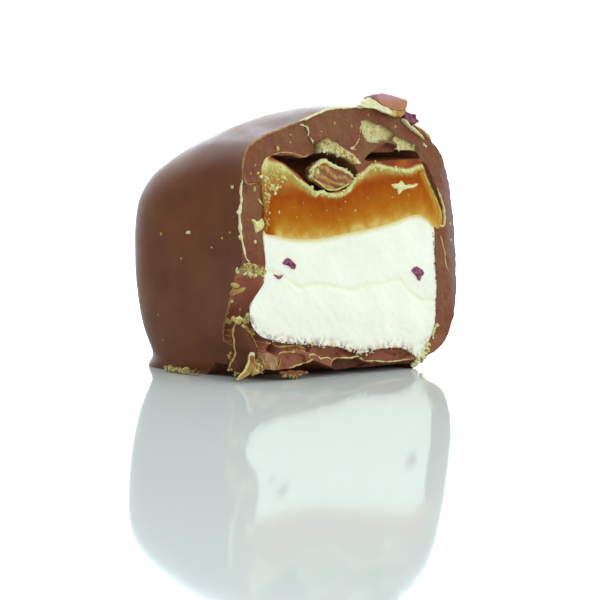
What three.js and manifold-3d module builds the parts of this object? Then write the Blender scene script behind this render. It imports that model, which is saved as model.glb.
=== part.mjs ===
// Half of a filled chocolate, bitten through: a milk chocolate coating over soft caramel on marshmallow.
// Millimetres, +Z up. It stands on its flat base at Z = 0, and the bitten face looks along -Y.
import * as THREE from "three";
import { ImprovedNoise } from "three/addons/math/ImprovedNoise.js";
import { mergeVertices } from "three/addons/utils/BufferGeometryUtils.js";
import Module from "manifold-3d";

const wasm = await Module();
wasm.setup();

const { smoothstep, lerp } = THREE.MathUtils;
const perlin = new ImprovedNoise();

// Driving dimensions. X runs from the middle of the bitten face to its right, Y from that face to the back.
const GAP = 0.25; // clearance between neighbouring pieces
const BOX_MIDDLE = [-0.035, 8.22]; // the middle of the whole piece in X and Y, where its origin goes
const BITE_LEAN = 0.15; // the bitten face falls back this much for each millimetre of height
const BITE_PIVOT = 9; // height at which the bitten face crosses Y = 0
const PAST_BITE = -4; // what the bite trims is made out to here
const ROUND_STEPS = 88; // sides of the coating's outline
const HEIGHT_STEPS = 32; // steps up a side profile

// Side profiles of the coating from the middle of the base to the crown, as [distance out, height].
const LEFT_PROFILE = [
  [0, -1], [12.6, -1], [13.2, 0.6], [13.5, 2.4], [14.2, 5], [14.6, 9], [14.6, 13], [14.2, 17],
  [13.8, 19.4], [12.9, 20.9], [11.2, 21.8], [8, 22.7], [4.5, 23.7], [2, 24.5], [0, 24.8],
];
const RIGHT_PROFILE = [
  [0, -1], [6.3, -1], [7.7, 0.2], [9, 1.1], [10.7, 1.7], [12.1, 2.6], [13.6, 4.8], [14.4, 7.8], [14.7, 12.6],
  [14.6, 15.6], [14.2, 18.7], [13.4, 20.6], [12.1, 22.1], [10.4, 23.2], [8.2, 24.1], [4.5, 24.9], [2, 25.0],
  [0, 24.8],
];
const BACK_PROFILE = [
  [0, -1], [15.7, -1], [16.2, 0.8], [16.8, 3], [17.3, 7], [17.7, 11], [17.6, 15], [16.9, 18],
  [15.4, 19.8], [13, 21.4], [10.8, 23.1], [8, 24.4], [5, 24.9], [2.5, 24.8], [0, 24.8],
];
const WALL_SQUARENESS = 7.5; // power of the coating's outline at the walls, where 2 is round
const CROWN_SQUARENESS = 3.5; // and near the crown
const SQUARE_TURNS_ROUND = [15, 21]; // the heights between which it changes

// The pool of chocolate that set round the foot. It starts behind the bitten face, at the left and back.
const FOOT = { height: 0.85, spread: 0.95, behind: 2.6, tuckedIn: 0.6 };

// Outlines on the bitten face, as [X, height]. The seam is where the caramel lies on the marshmallow.
const LAYER_SEAM = [
  [-11.7, 13.3], [-10.3, 13], [-8.5, 12.7], [-5.9, 12.6], [-2.9, 12.8], [0.1, 13.2],
  [3.4, 13.6], [6.6, 14.2], [9.3, 14.7], [10.6, 14.3], [11.5, 13.6],
];
const MARSHMALLOW_SIDES = [
  [11.2, 11], [11.05, 8.4], [10.8, 6], [10.5, 4.4], [10, 3.2], [9.2, 2.2], [8.3, 1.5], [7.3, 1.4], [6, 2],
  [2.8, 2.2], [-0.5, 1.9], [-3.1, 2.6], [-6, 2.9], [-9, 3.2], [-11.6, 3.7], [-12.4, 5.5], [-12.3, 8],
  [-12.1, 10.4],
];
const CARAMEL_SIDES = [
  [12.6, 13.4], [13, 14.3], [12.4, 16.3], [11.3, 18.3], [10.5, 19.8], [9, 20.35], [7, 20.35], [4.5, 20.2],
  [3, 19.7], [1.8, 18.9], [-0.5, 19], [-4, 19.6], [-8, 20], [-10.6, 20.1], [-11.4, 19.2], [-11.6, 17.5],
  [-11.6, 15.5],
];
// Both layers keep inside this form, which rounds their upright corners at the back.
const FILLING = { halfWidth: 13.4, back: 14.4, top: 20.5, squareness: 4.5 };

// The hollows between the caramel and the coating, each with its depth behind the bitten face.
const LEFT_HOLLOW = {
  outline: [
    [-10.4, 20.15], [-8, 20.3], [-6.1, 20.05], [-3.6, 20.7], [-1.6, 20.4], [0.6, 19.6], [1.4, 18.7],
    [0.7, 17.9], [-0.8, 17.1], [-2.8, 16.8], [-4.7, 17], [-6, 17.9], [-7.2, 18.7], [-8.8, 19.55],
  ],
  depth: 6.5,
};
const RIGHT_HOLLOW = {
  outline: [
    [2.2, 19.95], [3.2, 20.6], [4.3, 21.25], [5.8, 21.65], [7, 21.4], [7.7, 20.95], [8.8, 20.95],
    [10.1, 20.8], [10.5, 20.2], [9.2, 20.05], [7, 19.9], [4.3, 19.75],
  ],
  depth: 6,
};

// The lower left of the coating broke off behind the rest of the face, further back for each millimetre
// down. The break stays nearer to the corner at the foot, and the marshmallow bulges past it.
const BROKEN_WALL = {
  below: 10.3, shelf: 1.1, backPerDown: 0.52, inside: -12.1, outside: -13.9, nearerAtFoot: 0.6,
};
const BULGE = {
  outline: [
    [-11.4, 10.4], [-12.1, 9.5], [-12.7, 8.6], [-13.6, 7.7], [-14.1, 6.9], [-14.3, 6.1], [-14.2, 5.2],
    [-13.7, 4.5], [-12.8, 3.9], [-11.2, 3.8], [-10.4, 7],
  ],
  depth: 1.1,
  front: -0.6,
  roundness: 1,
};

// The marshmallow stands forward near its foot and has a crease across its middle.
const MARSHMALLOW_FORWARD = { by: 0.15, at: 4.6, over: 3.2 };
const CREASE = { at: 8.6, depth: 0.18, width: 0.5 };

// Where chocolate flaked off the bitten face (positive) or a ledge still stands out of it (negative).
const CHOCOLATE_BREAKS = [
  { x: -1.9, z: 20.9, wide: 2.6, high: 0.7, deep: -0.6 },
  { x: 4.2, z: 22.6, wide: 2.1, high: 0.9, deep: 0.6 },
  { x: 8.6, z: 21.7, wide: 1.8, high: 0.6, deep: 0.5 },
  { x: -13.2, z: 10.2, wide: 1.2, high: 0.6, deep: 0.5 },
  { x: -3, z: 1.9, wide: 3.5, high: 0.5, deep: 0.5 },
  { x: 4.5, z: 1.7, wide: 2.5, high: 0.4, deep: 0.5 },
];

// The base is lifted along the bite, up to this height and this far back, and further at the left end.
const UNDERCUT = { height: 1, depth: 2.6, leftDepth: 4.8, rightEnd: 9.2 };

// Lifted and loose pieces of the coating: the outline, its front in Y, how thick it is and how far it bends.
const TOP_FLAKE = {
  outline: [[3.1, 25], [3.3, 26], [4.6, 26.2], [8.7, 25.6], [8.4, 25], [6.4, 24], [4.2, 24]],
  front: 1.7,
  thickness: 2,
  bend: 0,
};
const SHOULDER_FLAKE = {
  outline: [[9.3, 23], [9.5, 24.2], [10.5, 24], [11.6, 22.9], [12.5, 21.4], [11, 21.6]],
  front: 1.5,
  thickness: 1.2,
  bend: 0,
};
const CORNER_SHARD = {
  outline: [[-14.7, 0.1], [-14.9, 2.3], [-14.4, 5.3], [-13.1, 5.6], [-11.6, 4], [-11, 1.9], [-12.2, 0.3]],
  front: -0.2,
  thickness: 1.7,
  bend: 0.9,
};
const CHIP = {
  outline: [[-4.8, 18.9], [-3.7, 19.8], [-1.8, 19.2], [0.5, 18.6], [0, 18.1], [-1.5, 17.3], [-4.2, 17.6]],
  front: 1.3,
  thickness: 1.5,
  bend: 0,
};

const toPoints = (pairs) => pairs.map(([a, b]) => new THREE.Vector2(a, b));
const hump = (distance, width) => Math.exp(-((distance / width) ** 2));

// A closed geometry as a solid that can be cut and joined. Triangles that closed up at a pole are dropped.
function solid(geometry) {
  geometry.deleteAttribute("normal");
  geometry.deleteAttribute("uv");
  const merged = mergeVertices(geometry, 1e-4);
  const corners = merged.index.array;
  const kept = [];
  for (let i = 0; i < corners.length; i += 3) {
    const [a, b, c] = corners.slice(i, i + 3);
    if (a !== b && b !== c && c !== a) kept.push(a, b, c);
  }
  return new wasm.Manifold(
    new wasm.Mesh({
      numProp: 3,
      vertProperties: merged.attributes.position.array,
      triVerts: new Uint32Array(kept),
    }),
  );
}

// Moves each vertex of a geometry to its place.
function reshape(geometry, move) {
  const at = geometry.attributes.position;
  const p = new THREE.Vector3();
  for (let i = 0; i < at.count; i++) {
    p.fromBufferAttribute(at, i);
    move(p);
    at.setXYZ(i, p.x, p.y, p.z);
  }
  return geometry;
}

// How far a square with soft corners lies out in a direction, against the unit circle.
function squared(cosine, sine, power) {
  return (Math.abs(cosine) ** power + Math.abs(sine) ** power) ** (-1 / power);
}

const sideCurves = [LEFT_PROFILE, RIGHT_PROFILE, BACK_PROFILE].map((profile) =>
  new THREE.SplineCurve(toPoints(profile)).getSpacedPoints(HEIGHT_STEPS),
);

// A point of the coating's outside: the three side profiles blended round a square outline with soft corners.
function outerPoint(angle, step) {
  const c = Math.cos(angle);
  const s = Math.sin(angle);
  const shares = [c < 0 ? c * c : 0, c > 0 ? c * c : 0, s * s];
  let reach = 0;
  let height = 0;
  sideCurves.forEach((curve, i) => {
    reach += shares[i] * curve[step].x;
    height += shares[i] * curve[step].y;
  });
  const power = lerp(WALL_SQUARENESS, CROWN_SQUARENESS, smoothstep(height, ...SQUARE_TURNS_ROUND));
  const dipping = 1 + 0.012 * perlin.noise(c * 1.7 + 4, s * 1.7, height / 8);
  const out = reach * squared(c, s, power) * dipping;
  return new THREE.Vector3(out * c, out * s, height);
}

function outerForm() {
  const meridian = Array.from({ length: HEIGHT_STEPS + 1 }, (_, step) => {
    const atPole = step === 0 || step === HEIGHT_STEPS;
    return new THREE.Vector2(atPole ? 0 : 1, step);
  });
  return solid(
    reshape(new THREE.LatheGeometry(meridian, ROUND_STEPS), (p) => {
      const atPole = Math.hypot(p.x, p.z) < 0.5;
      p.copy(outerPoint(atPole ? 0 : Math.atan2(p.x, p.z), Math.round(p.y)));
    }),
  );
}

// The outside in a direction, just above the base.
function footEdge(angle) {
  let step = 1;
  while (outerPoint(angle, step).z < FOOT.height / 2) step++;
  return outerPoint(angle, step).setZ(0);
}

function pooledFoot() {
  const { height, spread, behind, tuckedIn } = FOOT;
  const lip = [[0, -1], [1, -1], [1, 0.3 * height], [0.985, 0.8 * height], [0.94, height], [0, height]];
  return solid(
    reshape(new THREE.LatheGeometry(toPoints(lip), ROUND_STEPS), (p) => {
      const edge = footEdge(Math.atan2(p.x, p.z));
      const atRear = smoothstep(edge.y, behind, behind + 1.2);
      const atLeft = 1 - smoothstep(edge.x, -6, 6);
      const ripple = 1 + 0.012 * perlin.noise(edge.x * 0.8, edge.y * 0.8, 3);
      edge.setLength((edge.length() + spread * atRear * atLeft - tuckedIn) * ripple * Math.hypot(p.x, p.z));
      p.set(edge.x, edge.y, p.y);
    }),
  );
}

// A closed curve through an outline's pairs, moved outward by a distance.
function outlineOf(pairs, outward, perPair) {
  const inOrder = THREE.ShapeUtils.isClockWise(toPoints(pairs)) ? [...pairs].reverse() : pairs;
  const curve = new THREE.CatmullRomCurve3(
    inOrder.map(([x, z]) => new THREE.Vector3(x, z, 0)),
    true,
  );
  const count = pairs.length * perPair;
  return Array.from({ length: count }, (_, i) => {
    const at = curve.getPoint(i / count);
    const along = curve.getTangent(i / count);
    return new THREE.Vector2(at.x + along.y * outward, at.y - along.x * outward);
  });
}

// An outline in X and height as a slab from front to back.
function slab(outline, front, back, steps) {
  const geometry = new THREE.ExtrudeGeometry(new THREE.Shape(outline), {
    depth: back - front,
    steps,
    bevelEnabled: false,
  });
  return geometry.rotateX(Math.PI / 2).translate(0, back, 0);
}

// The room that the filling takes, with round upright corners and a softer top edge.
function fillingSpace(outward) {
  const { halfWidth, back, top, squareness } = FILLING;
  const profile = [[0, -2], [1, -2], [1, top - 4], [0.97, top - 2], [0.9, top], [0, top]];
  return solid(
    reshape(new THREE.LatheGeometry(toPoints(profile), 48), (p) => {
      const share = Math.hypot(p.x, p.z);
      const angle = Math.atan2(p.x, p.z);
      const out = share * squared(Math.cos(angle), Math.sin(angle), squareness);
      p.set(out * Math.cos(angle) * (halfWidth + outward), out * Math.sin(angle) * (back + outward), p.y);
    }),
  );
}

function layer(pairs, outward) {
  const whole = solid(slab(outlineOf(pairs, outward, 3), PAST_BITE, FILLING.back + 1, 1));
  return whole.intersect(fillingSpace(outward));
}

// An outline on the bitten face that goes back to a depth and narrows from its front to its far end.
function narrowing({ outline, depth, front = 0, roundness = 2 }, outward = 0) {
  const centre = new THREE.Vector2();
  const back = depth + outward;
  toPoints(outline).forEach((p) => centre.addScaledVector(p, 1 / outline.length));
  return solid(
    reshape(slab(outlineOf(outline, outward, 2), PAST_BITE, back, 11), (p) => {
      const share = Math.max(0, p.y - front) / (back - front);
      const width = (1 - 0.96 * share ** roundness) ** (1 / roundness);
      p.x = lerp(centre.x, p.x, width);
      p.z = lerp(centre.y, p.z, width);
    }),
  );
}

// How deep the bite went into the chocolate: a leaning face, set back at the broken wall, with crags.
function chocolateBite(x, z) {
  const { below, shelf, backPerDown, inside, outside, nearerAtFoot } = BROKEN_WALL;
  const setBack = shelf + backPerDown * Math.max(0, below - 0.9 - z);
  const atLeft = 1 - smoothstep(x + nearerAtFoot * (1 - smoothstep(z, 2.4, 4.2)), outside, inside);
  const broken = setBack * atLeft * (1 - smoothstep(z, below - 0.9, below + 0.4));
  const crags = 0.22 * perlin.noise(x * 0.55, 7, z * 0.7) + 0.12 * perlin.noise(x * 1.4, 2, z * 1.5);
  const baseCrags = 0.35 * perlin.noise(x * 0.9, 5, z * 1.2) * (1 - smoothstep(z, 2.5, 4));
  let depth = BITE_LEAN * (z - BITE_PIVOT) + broken + crags + baseCrags;
  for (const { x: atX, z: atZ, wide, high, deep } of CHOCOLATE_BREAKS) {
    depth += deep * hump(x - atX, wide) * hump(z - atZ, high);
  }
  return depth;
}

// How deep it went into the soft layers.
function softBite(x, z) {
  const { by, at, over } = MARSHMALLOW_FORWARD;
  const forward = by * hump(z - at, over) * smoothstep(x, -14, -9);
  const crease = CREASE.depth * hump(z - CREASE.at - 0.5 * Math.sin(x * 0.28 + 2.4), CREASE.width);
  return BITE_LEAN * (z - BITE_PIVOT) + crease - forward + 0.25 * perlin.noise(x * 0.3, 1, z * 0.3);
}

// A block in front of the bite, its far side shaped by the depth that the bite reached.
function biteBlock(depthAt, across, up) {
  return solid(
    reshape(new THREE.BoxGeometry(38, 2, 32, across, 1, up).translate(0, 0, 13), (p) => {
      p.y = p.y < 0 ? -20 : depthAt(p.x, p.z);
    }),
  );
}

function belowBase() {
  return solid(new THREE.BoxGeometry(60, 60, 10).translate(0, 0, -5));
}

// The wedge that lifts the base along the bite.
function undercut() {
  const { height, depth, leftDepth, rightEnd } = UNDERCUT;
  const section = toPoints([[-4, -1], [depth + 1, -1], [depth, 0], [0.4, height], [-4, height]]);
  const leftEnd = -20;
  const wedge = new THREE.ExtrudeGeometry(new THREE.Shape(section), {
    depth: rightEnd - leftEnd,
    steps: 28,
    bevelEnabled: false,
  });
  return solid(
    reshape(wedge, (p) => {
      const x = p.z + leftEnd;
      const further = p.x > 0 ? (leftDepth - depth) * (1 - smoothstep(x, -12.6, -10.2)) : 0;
      p.set(x, p.x + further, p.y);
    }),
  );
}

// A broken piece of the coating, thinner at its edges and bent forward between its ends.
function fragment({ outline, front, thickness, bend }) {
  const top = Math.max(...outline.map(([, z]) => z));
  const centre = new THREE.Vector2();
  toPoints(outline).forEach((p) => centre.addScaledVector(p, 1 / outline.length));
  const inOrder = THREE.ShapeUtils.isClockWise(toPoints(outline)) ? [...outline].reverse() : outline;
  return solid(
    reshape(slab(toPoints(inOrder), front, front + thickness, 3), (p) => {
      const fromMiddle = (2 * (p.y - front)) / thickness - 1;
      const width = 1 - 0.22 * fromMiddle ** 2;
      p.x = lerp(centre.x, p.x, width);
      p.z = lerp(centre.y, p.z, width) + 0.12 * perlin.noise(p.x * 1.3, p.y * 1.3, 9);
      p.y -= 0.5 * bend * Math.sin(Math.PI * (1 - p.z / top));
    }),
  );
}

const marshmallowOutline = [...LAYER_SEAM.map(([x, z]) => [x, z - GAP]), ...MARSHMALLOW_SIDES];
const caramelOutline = [...LAYER_SEAM, ...CARAMEL_SIDES];
const softCut = biteBlock(softBite, 32, 28);
const chocolateCut = biteBlock(chocolateBite, 50, 44);
const hollows = narrowing(LEFT_HOLLOW).add(narrowing(RIGHT_HOLLOW));

function marshmallow() {
  return layer(marshmallowOutline, 0).add(narrowing(BULGE)).subtract(softCut);
}

function caramel() {
  return layer(caramelOutline, 0).subtract(hollows).subtract(softCut);
}

function coating() {
  const shell = outerForm().add(pooledFoot()).subtract(chocolateCut).subtract(undercut());
  return shell
    .add(fragment(TOP_FLAKE))
    .add(fragment(SHOULDER_FLAKE))
    .add(fragment(CORNER_SHARD))
    .subtract(layer(marshmallowOutline, GAP))
    .subtract(layer(caramelOutline, GAP))
    .subtract(narrowing(BULGE, GAP))
    .subtract(hollows)
    .subtract(belowBase());
}

// A solid as a named mesh with the colour and gloss of its food.
function piece(name, made, color, roughness) {
  const { vertProperties, triVerts } = made.getMesh();
  const geometry = new THREE.BufferGeometry()
    .setAttribute("position", new THREE.BufferAttribute(vertProperties, 3))
    .setIndex(new THREE.BufferAttribute(triVerts, 1));
  geometry.computeVertexNormals();
  const mesh = new THREE.Mesh(geometry, new THREE.MeshStandardMaterial({ color, roughness, metalness: 0 }));
  mesh.name = name;
  return mesh;
}

const filledChocolate = new THREE.Group();
filledChocolate.add(
  piece("coating", coating(), "#63402d", 0.35),
  piece("caramel", caramel(), "#ab601b", 0.3),
  piece("marshmallow", marshmallow(), "#f4fadf", 0.85),
  piece("coating_chip", fragment(CHIP), "#8a5d42", 0.6),
);
filledChocolate.position.set(-BOX_MIDDLE[0], -BOX_MIDDLE[1], 0);

export default filledChocolate;
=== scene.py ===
import itertools
import math

import bmesh
import bpy
import numpy as np
from mathutils import Matrix, Vector


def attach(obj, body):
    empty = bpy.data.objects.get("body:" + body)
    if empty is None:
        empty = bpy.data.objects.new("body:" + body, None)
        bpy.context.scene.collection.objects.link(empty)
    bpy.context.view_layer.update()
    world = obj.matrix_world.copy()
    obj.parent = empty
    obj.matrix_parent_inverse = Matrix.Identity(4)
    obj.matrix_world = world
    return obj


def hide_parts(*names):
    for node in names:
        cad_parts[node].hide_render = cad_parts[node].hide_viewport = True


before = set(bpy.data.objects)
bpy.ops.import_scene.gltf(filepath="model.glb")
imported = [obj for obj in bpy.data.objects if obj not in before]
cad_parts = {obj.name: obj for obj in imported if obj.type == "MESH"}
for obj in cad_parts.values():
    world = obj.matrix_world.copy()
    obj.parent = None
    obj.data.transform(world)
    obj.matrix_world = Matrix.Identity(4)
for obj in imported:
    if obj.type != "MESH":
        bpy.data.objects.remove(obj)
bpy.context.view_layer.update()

# Half of a filled chocolate, bitten through. Lengths are millimetres in the bite's own frame: X runs along
# the bitten face from its middle to the right, Y from that face into the sweet, Z up from the base.
BOX_MIDDLE = Vector((-0.035, 8.22, 0))  # under the middle of the whole piece, the shared frame's origin
BITE_LEAN = 0.15  # how far the bitten face leans back for each millimetre up
BITE_PIVOT = 9.0  # the height at which it stands at Y 0
PAST_BITE = -4.0  # the Y to which cutting forms reach out of the bite
ROUND_STEPS = 360
HEIGHT_STEPS = 170
RELIEF_STEP = 0.12  # cell of the bitten face's relief
RELIEF_X, RELIEF_Z, RELIEF_FRONT = (-17, 17), (-2, 28), -20
OUTLINE_STEP = 0.12  # distance between the points of threads, rows of crumbs and small outlines
FAR = 99  # added to a distance so that a place is never the nearest

LEFT_PROFILE = [
    (0, -1), (12.6, -1), (13.2, 0.6), (13.5, 2.4), (14.2, 5), (14.6, 9), (14.6, 13), (14.2, 17), (13.8, 19.4),
    (12.9, 20.9), (11.2, 21.8), (8, 22.7), (4.5, 23.7), (2, 24.5), (0, 24.8),
]
RIGHT_PROFILE = [
    (0, -1), (6.3, -1), (7.7, 0.2), (9, 1.1), (10.7, 1.7), (12.1, 2.6), (13.6, 4.8), (14.4, 7.8),
    (14.7, 12.6), (14.6, 15.6), (14.2, 18.7), (13.4, 20.6), (12.1, 22.1), (10.4, 23.2), (8.2, 24.1),
    (4.5, 24.9), (2, 25), (0, 24.8),
]
BACK_PROFILE = [
    (0, -1), (15.3, -1), (15.8, 0.8), (16.5, 3), (17.3, 7), (17.7, 11), (17.6, 15), (16.9, 18), (15.4, 19.8),
    (13, 21.4), (10.8, 23.1), (8, 24.4), (5, 24.9), (2.5, 24.8), (0, 24.8),
]
WALL_SQUARENESS = 7.5
CROWN_SQUARENESS = 3.5
SQUARE_TURNS_ROUND = (15, 21)
FOOT = {"height": 0.85, "spread": 0.2, "at_rear": (3.4, 4.6), "at_left": (-6, 6), "tucked_in": 0.6}
FOOT_LIP = [(0, -1), (0.02, 0), (0.05, 0.3), (-0.12, 0.62), (-0.6, 0.85), (-1.6, 0.95)]  # outward and up

LAYER_SEAM = [
    (-11.7, 13.3), (-10.3, 13), (-8.5, 12.7), (-5.9, 12.6), (-2.9, 12.8), (0.1, 13.2), (3.4, 13.6),
    (6.6, 14.2), (9.3, 14.7), (10.6, 14.3), (11.5, 13.6),
]
LEFT_RIM = [
    (-11.1, 19.4), (-10.3, 19.5), (-8.7, 19.2), (-7.6, 18.5), (-6.6, 17.8), (-5.6, 17.3), (-4.9, 16.7),
    (-4.1, 16.9), (-2.7, 16.6), (-1.2, 16.7), (-0.2, 17.1), (0.6, 17.8), (1.4, 18.4),
]
RIGHT_RIM = [
    (1.2, 18.3), (2.1, 18.6), (3.1, 19.2), (4, 19.4), (4.7, 19.3), (5.6, 19.15), (6.5, 19.05), (7.5, 18.95),
    (8.2, 18.9), (9.1, 19.05), (10, 19.3), (12.6, 19.5),
]
RIGHT_SLOPE = [(10.4, 19.4), (10.8, 18.6), (11.4, 17.7), (12, 16.8), (12.4, 15.9), (12.6, 14.8), (12.4, 13.8)]
# Where the caramel turns from dark amber to its paler torn top, and the lower edge of the marshmallow.
DARK_EDGE = [
    (-11.6, 16.5), (-10.1, 16.8), (-8.2, 17), (-6.5, 16.9), (-5.1, 16.4), (-2.9, 16.3), (-0.8, 16.4),
    (0, 16.7), (1.6, 17.6), (3.5, 18.1), (5.1, 18.4), (6.7, 18.4), (8.4, 18.3), (10, 18.5), (12.6, 18.5),
]
# The ridge along the base, under which the chocolate turns back.
BASE_RIDGE = [
    (-4.5, 1.1), (-4, 1.5), (-3.4, 1.65), (-1.8, 1.6), (-0.6, 1.6), (0.4, 1.15), (1.7, 1.1), (2.9, 0.95),
    (4.9, 0.9), (7.2, 1),
]
LOWER_EDGE = [
    (-14.2, 5.4), (-13.2, 4), (-12, 3.6), (-9, 3.2), (-6, 2.9), (-3.1, 2.6), (-0.5, 1.9), (2.8, 2.2), (6, 2),
    (7.3, 1.4), (9.2, 2.2),
]
MARSHMALLOW_SIDES = [
    (11.6, 11.2), (11.35, 8.4), (10.9, 6), (10.5, 4.4), (10, 3.2), (9.2, 2.1), (8.4, 1.1), (7.5, 1.2), (6, 2),
    (2.8, 2.2), (-0.5, 1.9), (-3.1, 2.6), (-6, 2.9), (-9, 3.2), (-11.6, 3.7), (-12.5, 5.5), (-12.4, 8),
    (-11.85, 10.4),
]
CARAMEL_SIDES = [
    (12.6, 13.4), (13, 14.3), (12.4, 16.3), (11.3, 18.3), (10.5, 19.8), (9, 20.35), (7, 20.35), (4.5, 20.2),
    (3, 19.7), (1.8, 18.9), (-0.5, 19), (-4, 19.6), (-8, 20), (-10.6, 20.1), (-11.4, 19.2), (-11.6, 17.5),
    (-11.6, 15.5),
]
FILLING = {"half_width": 13.4, "back": 14.4, "squareness": 4.5}
FILLING_PROFILE = [(1, -2), (1, 16.5), (0.97, 18.5), (0.9, 20.5)]  # share of the width, height
HOLLOWS_START = -1.5  # Y, in front of all of the bitten face
STICKING = 0.004  # the layers stop this far short of the coating, too little to see
YELLOWING_DEPTH = 0.55  # how far under the seam the marshmallow turns yellow
DUST_AND_SHADE = {"above": 0.1, "half_width": 0.55}  # chocolate dust and painted shade along the marshmallow's lower edge
# The caramel's two ends: their shade on the scale of its finish, and where they begin.
LEFT_END = {"shade": 0.82, "x": (-11.3, -10)}
RIGHT_END = {"shade": 0.06, "share": 0.9, "from_slope": (-1.0, -0.3), "below": 19}

LEFT_HOLLOW = {
    "outline": [
        (-10.4, 20.15), (-8, 20.3), (-6.1, 20.05), (-3.6, 20.7), (-1.6, 20.4), (0.6, 19.6), (1.4, 18.7),
        (0.7, 17.9), (-0.8, 17.1), (-2.8, 16.8), (-4.7, 17), (-6, 17.9), (-7.2, 18.7), (-8.8, 19.55),
    ],
    "depth": 6.5,
}
RIGHT_HOLLOW = {
    "outline": [
        (2.2, 19.95), (3.2, 20.6), (4.3, 21.25), (5.8, 21.65), (7, 21.4), (7.7, 20.95), (8.8, 20.95),
        (10.1, 20.8), (10.5, 20.2), (9.2, 20.05), (7, 19.9), (4.3, 19.75),
    ],
    "depth": 6,
}

# The lower left of the coating broke off behind the rest of the face, further back for each millimetre down.
# The break stays nearer to the corner at the foot, and the marshmallow bulges past it.
BROKEN_WALL = {
    "below": 10.3, "rounded": 0.9, "rises": 0.4, "shelf": 1.1, "back_per_down": 0.52, "inside": -12.1,
    "outside": -13.9, "nearer_at_foot": 0.6, "foot": (2.4, 4.2),
}
BULGE = {
    "outline": [
        (-11.4, 10.4), (-12.2, 9.5), (-13, 8.6), (-13.8, 7.7), (-14.3, 6.9), (-14.5, 6.1), (-14.3, 5.2),
        (-13.7, 4.5), (-12.8, 3.9), (-11.2, 3.8), (-10.4, 7),
    ],
    "depth": 1.1,
    "front": -0.6,
    "roundness": 1,
}
# Low on the face the marshmallow stands a little forward, and a crease runs across it, with painted shade
# along it.
MARSHMALLOW_FORWARD = {"by": 0.15, "height": 4.6, "half_height": 3.2, "right_of": (-14, -9)}
CREASE = {"depth": 0.08, "half_width": 0.22, "shaded_half_width": 0.2}
CREASE_LINE = [
    (-11.4, 9.8), (-10.3, 9.5), (-9.3, 9), (-8.6, 8.6), (-7.8, 8.2), (-6.6, 8.4), (-4.7, 8.4), (-2.9, 8.1),
    (-1.7, 7.9), (-0.6, 7.8), (0.6, 8), (1.7, 8.2), (3.7, 8.3), (6.2, 8.5), (6.8, 7.9), (7.8, 7.1),
    (9.1, 6.5),
]
UNDERCUT = {"depth": 2.6, "left_depth": 5.7, "left_part": (-12.6, -10.2), "right_end": 7.4, "left_end": -20}
UNDERCUT_ROOF = {"back": 0.4, "back_at_left": 1.35}
UNDERCUT_HEIGHTS = [
    (-20, 1.3), (-13.5, 1.2), (-11.7, 1), (-9.9, 1.1), (-8.8, 1.2), (-7.4, 1.5), (-6.9, 1.6), (-6.4, 1.5),
    (-5.4, 1.2), (-4.3, 0.8), (-3.4, 0.5), (-0.5, 0.55), (2.9, 0.55), (7.4, 0.5),
]

# Unevenness of the bite: how deep, how many swells to a millimetre across and up, and its place in the noise.
CRAGS = ((0.2, 0.55, 0.7, 7), (0.12, 1.4, 1.5, 2))
GRAIN = ((0.06, 3.1, 3.3, 4), (0.035, 7, 7, 1))
SOFT_SWELLS = ((0.22, 0.3, 0.3, 1), (0.05, 1.3, 1.3, 6))
# A pit in the foot, and the turn back under the ridge along the base.
PIT = {"x": -11.6, "height": 2.85, "half_width": 0.55, "half_height": 0.35, "deep": 1.7}
TURN_BACK = {"deep": 0.5, "over": 0.5, "from": (-4.8, -4)}
# Along the base the face broke in facets, and stands out at one place.
FLAKY_BASE = {"up_to": (2.6, 3.4), "left_of": (5.5, 7.5), "facet_width": 2.6, "facet_height": 1.1}
BASE_SWELLING = {"x": -9, "half_width": 2.5, "out": 0.35}
# Where broken chocolate is pale with crumbs on top of the broken wall, and where painted light lightens it.
PALE_SHELF = {"height": 9.9, "half_height": 0.35, "left_of": (11.6, 12.6), "pale": 0.45}
PAINTED_LIGHT_WALL = {"left_of": (11.4, 12.4), "below": (9.3, 10.2)}
PAINTED_LIGHT_BASE = {"below": (2.8, 3.6), "share": 0.5}
PAINTED_SHEEN = {"right_of": (13.0, 14.6), "above": (3, 8)}  # painted sheen, greyish, on the right edge of the face
NEAR_FACE = (0.2, 0.8)  # how far behind the bitten face its colouring fades out
GROOVE_SHADE = 0.45  # how dark the groove beside the caramel is, where 1 is the darkest brown

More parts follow.
